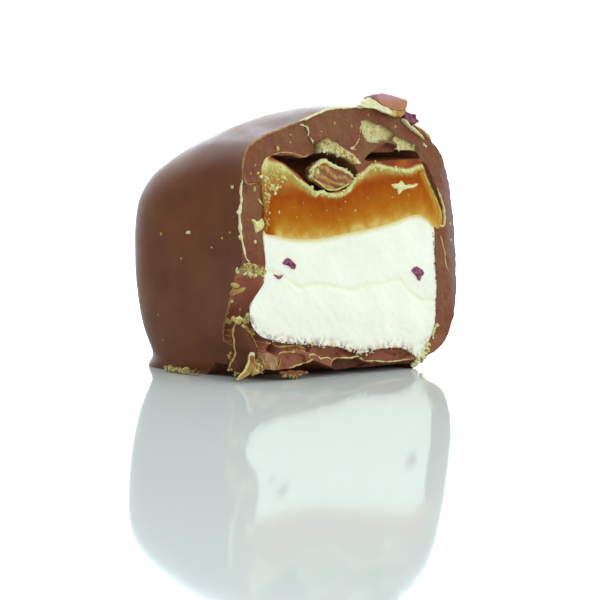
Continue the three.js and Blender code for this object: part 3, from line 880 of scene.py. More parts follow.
def make_marshmallow():
    """The marshmallow block under the caramel, bulging past the broken wall."""
    block = layer("marshmallow_block", marshmallow_outline, MARSHMALLOW, -STICKING)
    swelling = bulge("swelling", -STICKING)
    above = slab("caramel_above", caramel_outline, PAST_BITE - 2, FILLING["back"] + 2)
    worked(block, ("DIFFERENCE", above), ("UNION", swelling), ("DIFFERENCE", soft_bite))
    discard(swelling, above)
    x, _, z = corners_of(block).T
    crease, seam, lower = (z - height_along(line, x) for line in (CREASE_LINE, LAYER_SEAM, LOWER_EDGE))
    # Painted shade along the crease.
    with_values(block, "crease", hump(crease, CREASE["shaded_half_width"]))
    with_values(block, "yellowing", 1 - smoothstep(-seam, 0.0, YELLOWING_DEPTH))
    with_values(block, "dust_and_shade", hump(lower - DUST_AND_SHADE["above"], DUST_AND_SHADE["half_width"]))
    in_place(block, "marshmallow", crisp=60)


def make_caramel():
    """The caramel layer, darkest near its top and pale along the torn rim."""
    poured = layer("caramel_layer", caramel_outline, CARAMEL, -STICKING)
    worked(poured, ("DIFFERENCE", left_hollow), ("DIFFERENCE", right_hollow), ("DIFFERENCE", soft_bite))
    x, _, z = corners_of(poured).T
    uneven = 0.3 * unevenness(x * 1.6, 3, z * 0.5)
    seam, dark, rim = (height_along(line, x) for line in (LAYER_SEAM, DARK_EDGE, LEFT_RIM[:-1] + RIGHT_RIM))
    cooked = np.clip((z - seam) / (dark - seam), 0, 1)
    paling = np.clip((z - dark - uneven) / np.maximum(rim - dark, 0.35), 0, 1)
    drawn = 0.6 + 0.4 * unevenness(x * 4.5, 2, z * 0.35)
    at_left = (1 - smoothstep(x, *LEFT_END["x"])) * drawn
    from_slope = x - np.interp(z, *np.array(RIGHT_SLOPE)[::-1, ::-1].T)
    at_right = smoothstep(from_slope, *RIGHT_END["from_slope"]) * (z < RIGHT_END["below"])
    shade = 0.6 * cooked + 0.4 * paling
    shade = shade + (LEFT_END["shade"] - shade) * at_left * (shade < LEFT_END["shade"])
    shade = shade + (RIGHT_END["shade"] - shade) * RIGHT_END["share"] * at_right
    with_values(poured, "shade", shade)
    # Above the rim, inside the hollows: chocolate film and painted shade.
    with_values(poured, "film_and_shade", smoothstep(z - rim, 0.05, 0.35) * smoothstep(x, -10.9, -10.2))
    in_place(poured, "caramel", crisp=50)


def make_coating():
    """The chocolate shell: the outside and the foot, cut by the bite and emptied for what it holds."""
    shell = outer_form()
    shell.name = "milk_chocolate_coating"
    foot = pooled_foot()
    wedge = undercut("wedge", BITTEN)
    below = box_form("below_base", (-30, -30, -10), (30, 30, 0), ENROBED)
    swelling = bulge("swelling", 0)
    soft = layer("soft_room", marshmallow_outline, BITTEN, 0)
    sticky = layer("sticky_room", caramel_outline, BITTEN, 0)
    worked(shell, ("UNION", foot), ("DIFFERENCE", chocolate_bite), ("DIFFERENCE", wedge))
    worked(shell, ("DIFFERENCE", soft), ("DIFFERENCE", sticky), ("DIFFERENCE", swelling))
    worked(shell, ("DIFFERENCE", left_hollow), ("DIFFERENCE", right_hollow), ("DIFFERENCE", below))
    discard(foot, wedge, below, swelling, soft, sticky)
    x, y, z = corners_of(shell).T
    near_face = 1 - smoothstep(y - chocolate_depth(x, z), *NEAR_FACE)
    groove = inside(x, z, FACE_PLATES["caramel_side"]["outline"])
    under = smoothstep(height_along(BASE_RIDGE, x) - z, 0.05, 0.2) * smoothstep(x, -4.7, -4.1)
    shares = {
        "paleness": paleness(x, z),
        # Painted light on the set-back broken wall and the base.
        "painted_light": painted_light(x, z),
        "shaded": np.maximum(GROOVE_SHADE * groove, under),
        # Painted sheen along the right edge of the bitten face.
        "painted_sheen": smoothstep(x, *PAINTED_SHEEN["right_of"]) * smoothstep(z, *PAINTED_SHEEN["above"]),
    }
    for name, share in shares.items():
        with_values(shell, name, share * near_face)
    in_place(shell, "coating")


make_coating()
make_caramel()
make_marshmallow()
discard(chocolate_bite, soft_bite, left_hollow, right_hollow)

# Fine raised threads of chocolate on the bitten face: the path, the radius and how pale, from 0 to 1.
THREADS = [
    ([(-6.1, 23.05), (-5.5, 23), (-5.2, 22.6), (-5, 21.9), (-4.5, 21.4)], 0.09, 0.97),
    ([(2.2, 23.8), (2, 22.6), (1.6, 21.7), (1.1, 21.2), (0.4, 21), (1.4, 20.9)], 0.07, 0.9),
    ([(-13.8, 18.5), (-13.6, 17.7), (-12.2, 17.7)], 0.07, 0.6),
    ([(-9.9, 20.3), (-8.6, 20.5), (-7.1, 20.4), (-6.2, 20.2), (-5.6, 20.2), (-4.9, 20.6)], 0.05, 0.62),
    ([(-12.1, 16.3), (-11.8, 16), (-11.3, 15.6)], 0.09, 0.9),
    ([
        (-14.1, 18), (-14.15, 17.3), (-14.2, 16.7), (-14.35, 15.7), (-14.55, 15.1), (-14.6, 14.2),
        (-14.6, 13.2), (-14.5, 12.2), (-14.2, 11.2), (-13.7, 10.6),
    ], 0.12, 1.0),
    ([(-15, 10.2), (-14.8, 9.9), (-14.5, 9.75), (-14.2, 9.65)], 0.1, 0.95),
    ([(12.6, 12.7), (12.9, 11.4), (13, 10.1), (13.4, 9.2)], 0.06, 0.8),
    ([(12.3, 13.7), (13, 13.6), (13.3, 14.4), (13.3, 15.4), (13, 16.4), (12.6, 17.3)], 0.12, 0.82),
    ([
        (-12.9, 3.5), (-12.3, 3.4), (-11.4, 3.4), (-10.8, 3), (-9.8, 3), (-8.6, 3), (-7.6, 2.7), (-7, 2.6),
    ], 0.06, 0.72),
    ([(-11.1, 2.3), (-10.7, 2.5), (-9.9, 2.5), (-8.6, 2.6), (-7.8, 2.4), (-7.4, 2.2)], 0.07, 0.75),
    ([(-7.6, 1.9), (-7, 2.1), (-6.2, 2), (-5.9, 1.7), (-5.3, 1.7), (-4.6, 1.7), (-4.1, 1.5)], 0.08, 0.82),
    # Its pale line is partly a painted highlight along the lit ridge.
    (BASE_RIDGE, 0.06, 0.82),
    ([(-13.1, 2.4), (-12.9, 1.8), (-12.7, 1.1)], 0.06, 0.6),
    ([(-12.5, 2.4), (-12.3, 1.7), (-12.3, 1)], 0.05, 0.62),
    ([(-11.8, 2.2), (-11.6, 1.6), (-11.7, 1)], 0.06, 0.68),
    ([(-11, 2.1), (-11.1, 1.5), (-11.5, 1)], 0.05, 0.6),
    ([(-10.3, 1.1), (-9.5, 1.25), (-8.4, 1.35), (-7.6, 1.6), (-7, 1.75)], 0.06, 0.75),
]
NOTCH_HEIGHTS = (4.4, 3.9, 3.35, 2.8)  # short ridges across the broken wall's outer edge

# Stretches of the line where the bite meets the outside: from, to, the radius and how pale, the pale partly a
# painted highlight.
EDGE_THREADS = [
    ((-14.2, 18.2), (-6.2, 23.0), 0.1, 0.5),
    ((-6.1, 23.1), (1.4, 24.8), 0.11, 0.95),
    ((1.6, 24.8), (3.6, 25.0), 0.13, 1.0),
    ((-14.2, 2.6), (-14.8, 9.4), 0.08, 0.5),
    ((8.6, 24.0), (12.0, 21.6), 0.12, 0.75),
]

# Single crumbs on the bitten face: X, height, size and how pale.
SINGLE_CRUMBS = [
    (-7.4, 22.1, 0.13, 0.7), (-7.5, 21.4, 0.13, 0.7), (-1.6, 23.3, 0.14, 0.7), (-3.4, 22.5, 0.1, 0.7),
    (-9.3, 20.8, 0.2, 0.7), (-12.3, 19.3, 0.16, 0.6), (-13, 18.6, 0.16, 0.6), (3.3, 24.2, 0.15, 0.65),
    (0.7, 23.1, 0.15, 0.65), (7.1, 23.2, 0.16, 0.65), (0.1, 23.6, 0.1, 0.6), (-12.5, 17.1, 0.22, 0.75),
    (-12, 18.6, 0.2, 0.8), (-11.6, 18.3, 0.2, 0.95), (-12.9, 12.5, 0.2, 0.9), (-14.5, 15.1, 0.22, 0.95),
    (-14.7, 12.9, 0.2, 0.9), (-14.25, 7, 0.16, 0.85), (-13.4, 6.3, 0.13, 0.7), (-14.3, 6, 0.13, 0.7),
    (14.1, 13.8, 0.16, 0.9), (14.2, 12.2, 0.14, 0.85), (10.9, 4, 0.22, 0.9), (-13.6, 9.6, 0.22, 1),
    (-13.25, 9.65, 0.2, 1), (-13.05, 9.5, 0.24, 1), (-12.8, 9.5, 0.18, 1), (11.1, 21.5, 0.16, 0.95),
    (11.4, 21.3, 0.13, 0.9),
]
CARAMEL_CRUMBS = [
    (-10.7, 17.2, 0.22, 0.95), (-10.2, 17.4, 0.2, 0.95), (-9.6, 17.3, 0.2, 0.9), (-11, 16.7, 0.2, 0.95),
    (-11.3, 16.8, 0.14, 0.9), (-11.2, 18, 0.2, 0.95), (-10.9, 16.3, 0.16, 0.9), (-8.6, 18.2, 0.18, 0.9),
    (-9.7, 15.1, 0.16, 0.8), (-6.5, 15.9, 0.14, 0.55), (-5.6, 14.8, 0.12, 0.65), (-7.5, 14.6, 0.12, 0.65),
    (-8.7, 13.7, 0.12, 0.75), (-1.7, 14.3, 0.11, 0.75), (-7.8, 15.5, 0.12, 0.6), (-1.4, 15.3, 0.11, 0.65),
    (-10.9, 15, 0.14, 0.8), (-3.3, 13.7, 0.1, 0.75), (-0.8, 16, 0.1, 0.7), (-3.3, 15.2, 0.1, 0.7),
    (0.5, 15.2, 0.12, 0.75), (2.5, 16.3, 0.12, 0.65), (5.9, 16.4, 0.12, 0.7), (8.2, 16.6, 0.12, 0.65),
]

# Crumbs on plates of the bitten face: how many, their sizes and how pale, and the seed.
PLATE_CRUMBS = [
    ("crown_patch", 40, (0.06, 0.16), (0.75, 1.0), 12),
    ("shoulder_patch", 24, (0.06, 0.14), (0.75, 1.0), 13),
    ("hollow_ledge", 50, (0.07, 0.2), (0.55, 1.0), 14),
]

# Specks stuck to the left wall: Y, height, size and how pale.
WALL_SPECKS = [
    (10.3, 12.8, 0.12, 0.7), (7, 12.9, 0.2, 1), (3, 12.8, 0.1, 0.7), (2.4, 17.4, 0.17, 0.95),
    (4.2, 11.9, 0.09, 0.65), (7.7, 10.7, 0.1, 0.7), (10.9, 5.2, 0.11, 0.75), (10.7, 2.9, 0.1, 0.7),
    (1.8, 14.6, 0.1, 0.7), (2.1, 13.3, 0.1, 0.6),
]


def on_face(pairs, depth):
    """A smooth line through pairs of X and height, laid on a surface of the bite."""
    line = curve_through(pairs, max(6, int(length_of(np.array(pairs, float)) / OUTLINE_STEP)))
    return laid_at(line, depth(*line.T))


def thread(path, radius, tone, seed):
    """A fine raised thread along a path, uneven in width and thin at its ends."""
    along = unit(np.gradient(path, axis=0))
    side = unit(np.cross(along, (0, 1, 0)))
    over = np.cross(along, side)
    share = np.linspace(0, 1, len(path))
    width = radius * (1 + 1.1 * unevenness(path[:, 0] * 2.3, seed, path[:, 2] * 2.3))
    width *= np.clip(6 * np.minimum(share, 1 - share), 0.1, 1) ** 0.5
    turn = all_round(8)[None, :, None]
    outward = np.cos(turn) * side[:, None] + np.sin(turn) * over[:, None]
    rings = path[:, None] + width[:, None, None] * outward
    return rings.reshape(-1, 3), ring_faces(len(path), 8), tone


def cut_edge():
    """The line where the bitten face meets the outside, from the left foot over the crown to the right."""
    angle = np.linspace(0, 2 * np.pi, 1441)
    left, right = [], []
    for step in range(6, HEIGHT_STEPS - 1):
        at = outer_point(angle, np.full(len(angle), step))
        behind = at[:, 1] - chocolate_depth(at[:, 0], at[:, 2])
        crossing = np.nonzero(np.diff(np.sign(behind)))[0]
        if len(crossing) > 1:
            share = (behind[crossing] / (behind[crossing] - behind[crossing + 1]))[:, None]
            places = at[crossing] * (1 - share) + at[crossing + 1] * share
            left.append(places[np.argmin(places[:, 0])])
            right.append(places[np.argmax(places[:, 0])])
    return np.array(left + right[::-1])


def stretch(line, start, end):
    """The part of a line between the places nearest to two pairs of X and height, at even steps."""
    first, last = (np.argmin(np.linalg.norm(line[:, [0, 2]] - pair, axis=1)) for pair in (start, end))
    part = line[first : last + 1]
    return evenly(part, int(length_of(part) / OUTLINE_STEP))


def ball(subdivisions):
    mesh = bmesh.new()
    bmesh.ops.create_icosphere(mesh, subdivisions=subdivisions, radius=1)
    points = np.array([v.co for v in mesh.verts])
    faces = [[v.index for v in f.verts] for f in mesh.faces]
    mesh.free()
    return points, faces


COARSE_BALL = ball(2)
FINE_BALL = ball(3)


def crumb(place, size, tone, chance):
    """A broken crumb: a ball cut flat on chance sides, lifted where it would lie below the floor."""
    points, faces = FINE_BALL if size > 0.18 else COARSE_BALL
    sides = unit(chance.normal(size=(10, 3)))
    reach = np.min(chance.uniform(0.5, 1, 10) / np.maximum(points @ sides.T, 0.08), axis=1)
    stretched = chance.uniform(0.7, 1.3, 3)
    body = np.array(place) + points * np.minimum(reach, 1.2)[:, None] * stretched * size
    return body - (0, 0, min(0, body[:, 2].min())), faces, tone


def strewn(line, count, spread, sizes, tones, seed):
    """Crumbs scattered beside a line."""
    chance = np.random.default_rng(seed)
    at = line[chance.integers(0, len(line), count)] + chance.normal(0, 1, (count, 3)) * spread * (1, 0.3, 1)
    return [crumb(place, chance.uniform(*sizes), chance.uniform(*tones), chance) for place in at]


def heaped(outline, count, depth, sizes, tones, seed):
    """Crumbs scattered within an outline on a surface of the bite."""
    chance = np.random.default_rng(seed)
    corners = np.array(outline)
    at = chance.uniform(corners.min(axis=0), corners.max(axis=0), (count * 5, 2))
    at = at[inside(at[:, 0], at[:, 1], outline)][:count]
    y = depth(at[:, 0], at[:, 1])
    return [
        crumb((x, front, z), chance.uniform(*sizes), chance.uniform(*tones), chance)
        for (x, z), front in zip(at, y)
    ]


def joined(name, forms):
    """Many small closed forms as one piece of crumbled chocolate, each with its tone."""
    points = np.concatenate([form[0] for form in forms])
    tones = np.concatenate([np.full(len(form[0]), form[2]) for form in forms])
    faces = []
    start = 0
    for form_points, form_faces, _ in forms:
        faces.extend([[start + corner for corner in face] for face in form_faces])
        start += len(form_points)
    piece = new_piece(name, points, faces, CRUMBLED)
    with_values(piece, "tone", tones)
    in_place(piece)


def lump(name, outline, front, thickness, tone, seed, finish, cell=0.08, strata=0.0, chamfer=0.2, bumpy=1.0):
    """A broken flake: its outline chamfered front and back, then fused to an uneven, layered surface."""
    edge = outline_of(outline, spacing=OUTLINE_STEP, frayed=0.1 * bumpy, seed=seed)
    centre = np.mean(outline, axis=0)
    rings = []
    for share in np.linspace(0, 1, 7):
        ring = centre + (edge - centre) * (1 - chamfer * (2 * share - 1) ** 2)
        rings.append(laid_at(ring, front(*ring.T) + share * thickness))
    piece = ringed(name, rings, finish)
    change = piece.modifiers.new("fused", "REMESH")
    change.mode = "VOXEL"
    change.voxel_size = cell
    applied(piece)
    at = corners_of(piece)
    x, y, z = at.T
    normals = np.empty(len(at) * 3)
    piece.data.vertex_normals.foreach_get("vector", normals)
    layers = np.sin(2 * np.pi * (z + 0.36 * x) / 0.8 + 5 * unevenness(x * 0.7, seed, z * 1.1 + y))
    rough = 0.16 * unevenness(x * 1.3, y * 1.3 + seed, z * 1.3)
    rough += 0.07 * unevenness(x * 4, y * 4 + seed, z * 4)
    at += (bumpy * rough + 0.5 * strata * layers)[:, None] * normals.reshape(-1, 3)
    move_corners(piece, at)
    with_values(piece, "tone", tone + strata * layers + 0.12 * unevenness(x * 2, seed, z * 2))
    return piece


def bent_plate(name, left, right, thickness, swell, foot_tone, top_tone, finish):
    """A plate between two edges, swelling forward in its middle and thin at both edges."""
    rows = np.linspace(0, 1, 60)
    left_line, right_line = (curve_through(edge, len(rows)) for edge in (left, right))
    across = np.linspace(0, 1, 26)[:, None, None]
    sheet = left_line * (1 - across) + right_line * across
    middle = np.sin(np.pi * across[..., 0]) * np.ones(len(rows))
    sheet[..., 1] -= swell * middle
    sheet[..., 1] += 0.12 * unevenness(sheet[..., 0] * 0.9, 5, sheet[..., 2] * 0.9)
    back = sheet.copy()
    back[..., 1] += thickness * (0.25 + 0.75 * middle**0.5)
    rings = [np.concatenate([sheet[:, row], back[::-1, row]]) for row in range(len(rows))]
    piece = ringed(name, rings, finish)
    x, _, z = corners_of(piece).T
    with_values(piece, "shaded", 1 - 0.7 * z / z.max())
    with_values(piece, "tone", foot_tone + (top_tone - foot_tone) * z / z.max() + 0.08 * unevenness(x, 3, z))
    in_place(piece)


def thinned(piece, front, thickness, level, seed):
    """Makes a flake uneven and a little lower toward its back, where it lies on the coating."""
    at = corners_of(piece)
    behind = np.clip((at[:, 1] - front) / thickness, 0, 1)
    at[:, 1] += 0.35 * thickness * behind * unevenness(at[:, 0] * 1.1, seed, 1)
    at[:, 2] -= 0.25 * behind * np.maximum(0, at[:, 2] - level)
    move_corners(piece, at)


def upright_at(y):
    """A surface of the bite that stands upright at one distance back."""
    return lambda x, z: np.full(np.shape(x), float(y))


def raised(surface, by=0.12):
    """A surface of the bite moved forward."""
    return lambda x, z: surface(x, z) - by


def make_threads():
    """The raised burrs of chocolate along breaks of the bitten face and its outer edge; along that edge and
    the base ridge their pale is partly painted highlight.
    """
    edge = cut_edge()
    forms = [thread(on_face(path, chocolate_depth), radius, tone, 3) for path, radius, tone in THREADS]
    for start, end, radius, tone in EDGE_THREADS:
        forms.append(thread(stretch(edge, start, end), radius, tone, 7))
    for height in NOTCH_HEIGHTS:
        x = edge[np.argmin(np.abs(edge[:, 2] - height) + (edge[:, 0] > 0) * FAR)][0]
        ridge = on_face([(x, height), (x + 0.45, height - 0.05), (x + 0.9, height - 0.15)], chocolate_depth)
        forms.append(thread(ridge, 0.12, 0.5, 5))
    joined("chocolate_threads", forms)


def make_crumbs():
    """The crumbs on the broken chocolate and the caramel."""
    chance = np.random.default_rng(4)
    forms = []
    for surface, crumbs in ((chocolate_depth, SINGLE_CRUMBS), (soft_depth, CARAMEL_CRUMBS)):
        for x, z, size, tone in crumbs:
            forms.append(crumb((x, float(surface(x, z)), z), size, tone, chance))
    wall_ledge = [
        (-14.4, 10.5), (-13.5, 10.6), (-12.8, 10.3), (-12.1, 10.1), (-11.8, 9.8), (-12.1, 9.3), (-12.7, 9.4),
        (-13.1, 9.2), (-13.5, 9.5), (-14.2, 9.9),
    ]
    forms += heaped(wall_ledge, 190, chocolate_depth, (0.06, 0.14), (0.5, 0.92), 11)
    right_foot = [
        (7.3, 0.15), (8.1, 0.1), (8.7, 0.6), (9.3, 1.4), (9.8, 2.2), (9.2, 2.1), (8.4, 1.2), (7.5, 1.2),
    ]
    forms += heaped(right_foot, 70, chocolate_depth, (0.08, 0.2), (0.8, 1.15), 19)
    for plate, count, sizes, tones, seed in PLATE_CRUMBS:
        forms += heaped(FACE_PLATES[plate]["outline"], count, chocolate_depth, sizes, tones, seed)
    cluster = curve_through([
        (-15, 0.6, 5.5), (-14.5, 0.6, 5.4), (-14.1, 0.55, 5.3), (-13.8, 0.5, 5.6), (-13.6, 0.4, 5.8),
    ], 40)
    forms += strewn(cluster, 46, 0.13, (0.1, 0.24), (0.68, 1.0), 15)
    beside = curve_through([(-14.5, 0.2, 4.9), (-14, 0.1, 4.75), (-13.8, -0.1, 4.5), (-13.6, -0.3, 4.3)], 40)
    forms += strewn(beside, 30, 0.1, (0.06, 0.16), (0.5, 0.95), 17)
    row = on_face([(-14.2, 5.3), (-13.9, 5.2), (-13.6, 5.15)], chocolate_depth)
    forms += strewn(row, 12, 0.08, (0.12, 0.22), (0.72, 1.0), 16)
    ochre = curve_through([(-13.7, -1, 1.6), (-13, -1.1, 1.35), (-13.2, -1.1, 1.1), (-14.2, -1, 0.95)], 30)
    forms += strewn(ochre, 40, 0.16, (0.07, 0.18), (0.5, 0.85), 18)
    under_edge = on_face([(-10.9, 0.45), (-9.6, 0.35), (-8.4, 0.4), (-7.7, 0.55)], upright_at(-1.5))
    forms += strewn(under_edge, 20, 0.06, (0.06, 0.13), (0.4, 0.95), 20)
    joined("chocolate_crumbs", forms)


def make_rim_crumbs():
    """The crumbly rim that the caramel tore away from the coating with, its pale line partly a painted
    highlight.
    """
    left, right = on_face(LEFT_RIM[3:], soft_depth), on_face(RIGHT_RIM[:-1], soft_depth)
    slope = on_face(RIGHT_SLOPE, soft_depth)
    forms = [thread(left, 0.2, 0.86, 21), thread(right, 0.17, 0.86, 22), thread(slope, 0.1, 0.68, 23)]
    forms += strewn(left, 120, 0.12, (0.07, 0.18), (0.72, 1.0), 24)
    forms += strewn(right, 90, 0.13, (0.07, 0.18), (0.72, 1.0), 25)
    forms += strewn(slope, 20, 0.05, (0.05, 0.1), (0.6, 0.85), 26)
    corner = [
        (-11.3, 19.4), (-10.4, 19.6), (-8.6, 19), (-8.2, 18.2), (-9.4, 17), (-10.6, 16.4), (-11.3, 16.4),
    ]
    forms += heaped(corner, 46, soft_depth, (0.07, 0.2), (0.7, 0.95), 27)
    left_side = on_face([(-11.4, 17), (-11.3, 15.5), (-11.3, 14.2), (-11.5, 13.5)], soft_depth)
    forms += strewn(left_side, 26, 0.14, (0.06, 0.14), (0.5, 0.85), 28)
    joined("caramel_rim_crumbs", forms)


def make_marshmallow_crumbs():
    """Chocolate dust and specks that the bite dragged onto the marshmallow, the dark ones along its lower
    edge partly painted shade.
    """
    lower = on_face(LOWER_EDGE[1:-1], soft_depth)
    right = on_face([(11.4, 13), (11.5, 11), (11.3, 8.4), (10.85, 6), (10.4, 4.6)], soft_depth)
    corner = on_face([(10.4, 3.8), (10, 3), (9.5, 2.4), (8.9, 2), (8.4, 1.6)], soft_depth)
    # Dark mauve crumbs along the lower edge: chocolate dust, partly painted shade.
    forms = strewn(lower, 60, 0.13, (0.05, 0.12), (0.0, 0.3), 31)
    forms += strewn(lower, 40, 0.14, (0.05, 0.13), (0.8, 1.0), 32)
    forms += strewn(right, 40, 0.05, (0.04, 0.08), (0.1, 0.5), 33)
    forms += strewn(corner, 34, 0.1, (0.06, 0.16), (0.86, 1.0), 34)
    joined("marshmallow_crumbs", forms)


def make_marshmallow_tip():
    """The torn corner of the marshmallow, low at the right."""
    outline = [(6.9, 2), (7.3, 1.2), (7.8, 0.75), (8.2, 0.7), (8.7, 1.2), (9.3, 2), (8.4, 2.6), (7.3, 2.5)]
    front = raised(soft_depth, 0.02)
    tip = lump("marshmallow_tip", outline, front, 0.9, 1, 9, MARSHMALLOW, cell=0.06, bumpy=0.5)
    x, _, z = corners_of(tip).T
    # Darker toward its foot: dust and painted shade.
    with_values(tip, "dust_and_shade", 0.8 * smoothstep(-z, -1.5, -0.6))
    in_place(tip, crisp=60)


def make_wall_specks():
    """The specks on the left wall and the crumbs along its broken lip."""
    angle = np.linspace(math.pi / 2, math.pi, 400)
    steps = np.arange(1, 140)
    grid = outer_point(angle[:, None], np.broadcast_to(steps, (len(angle), len(steps)))).reshape(-1, 3)
    chance = np.random.default_rng(6)
    forms = []
    for y, z, size, tone in WALL_SPECKS:
        place = grid[np.argmin(np.hypot(grid[:, 1] - y, grid[:, 2] - z) + (grid[:, 0] > -8) * FAR)]
        forms.append(crumb(place, size, tone, chance))
    lip = curve_through([(-15.1, 4.9, 0.35), (-15.2, 7, 0.4), (-15.25, 9.6, 0.4)], 60)
    forms += strewn(lip, 44, 0.14, (0.06, 0.14), (0.3, 0.8), 41)
    golden = curve_through([(-15.25, 6.4, 0.3), (-15.3, 7.8, 0.3), (-15.3, 9.3, 0.35)], 40)
    forms += strewn(golden, 56, 0.09, (0.1, 0.2), (0.6, 1.0), 42)
    near_corner = curve_through([(-14.7, 1.6, 2.4), (-14.8, 1.5, 2.1), (-14.7, 1.3, 1.8)], 20)
    forms += strewn(near_corner, 16, 0.1, (0.06, 0.14), (0.5, 0.85), 43)
    joined("wall_specks", forms)


def make_chip():
    """The loose piece of coating in the left hollow, its broken layers showing."""
    outline = [
        (-5.4, 18.7), (-5.1, 19.2), (-4.7, 19.4), (-3.7, 19.9), (-2.4, 19.4), (-1.1, 19.1), (0.2, 18.6),
        (0.7, 18.1), (0.2, 17.7), (-0.6, 17.4), (-1.3, 17.3), (-1.9, 17), (-3.1, 17.1), (-4.1, 17.7),
        (-5.2, 18.2),
    ]
    front = upright_at(1.3)
    chip = lump("broken_chip", outline, front, 0.8, 0.47, 5, CRUMBLED, 0.05, strata=0.1, chamfer=0.06)
    in_place(chip, "coating_chip", crisp=50)
    top = [
        (-5.3, 18.3), (-5.1, 19.1), (-4.6, 19.35), (-3.7, 19.8), (-2.5, 19.4), (-1.4, 19.1), (-0.6, 18.9),
        (0.6, 18.2),
    ]
    low = [(-5.2, 18.2), (-4.1, 17.75), (-3.1, 17.2), (-1.9, 17.1), (-0.8, 17.4), (0.3, 17.8)]
    top, low, tip = (on_face(line, front) for line in (top, low, [(-5.2, 18.3), (-5, 18.9), (-4.6, 18.7)]))
    forms = [thread(top, 0.16, 0.92, 2), thread(low, 0.08, 0.8, 3)]
    forms += strewn(top, 40, 0.08, (0.07, 0.17), (0.8, 1.0), 51)
    forms += strewn(tip, 24, 0.14, (0.1, 0.2), (0.8, 1.0), 52)
    joined("chip_rim", forms)


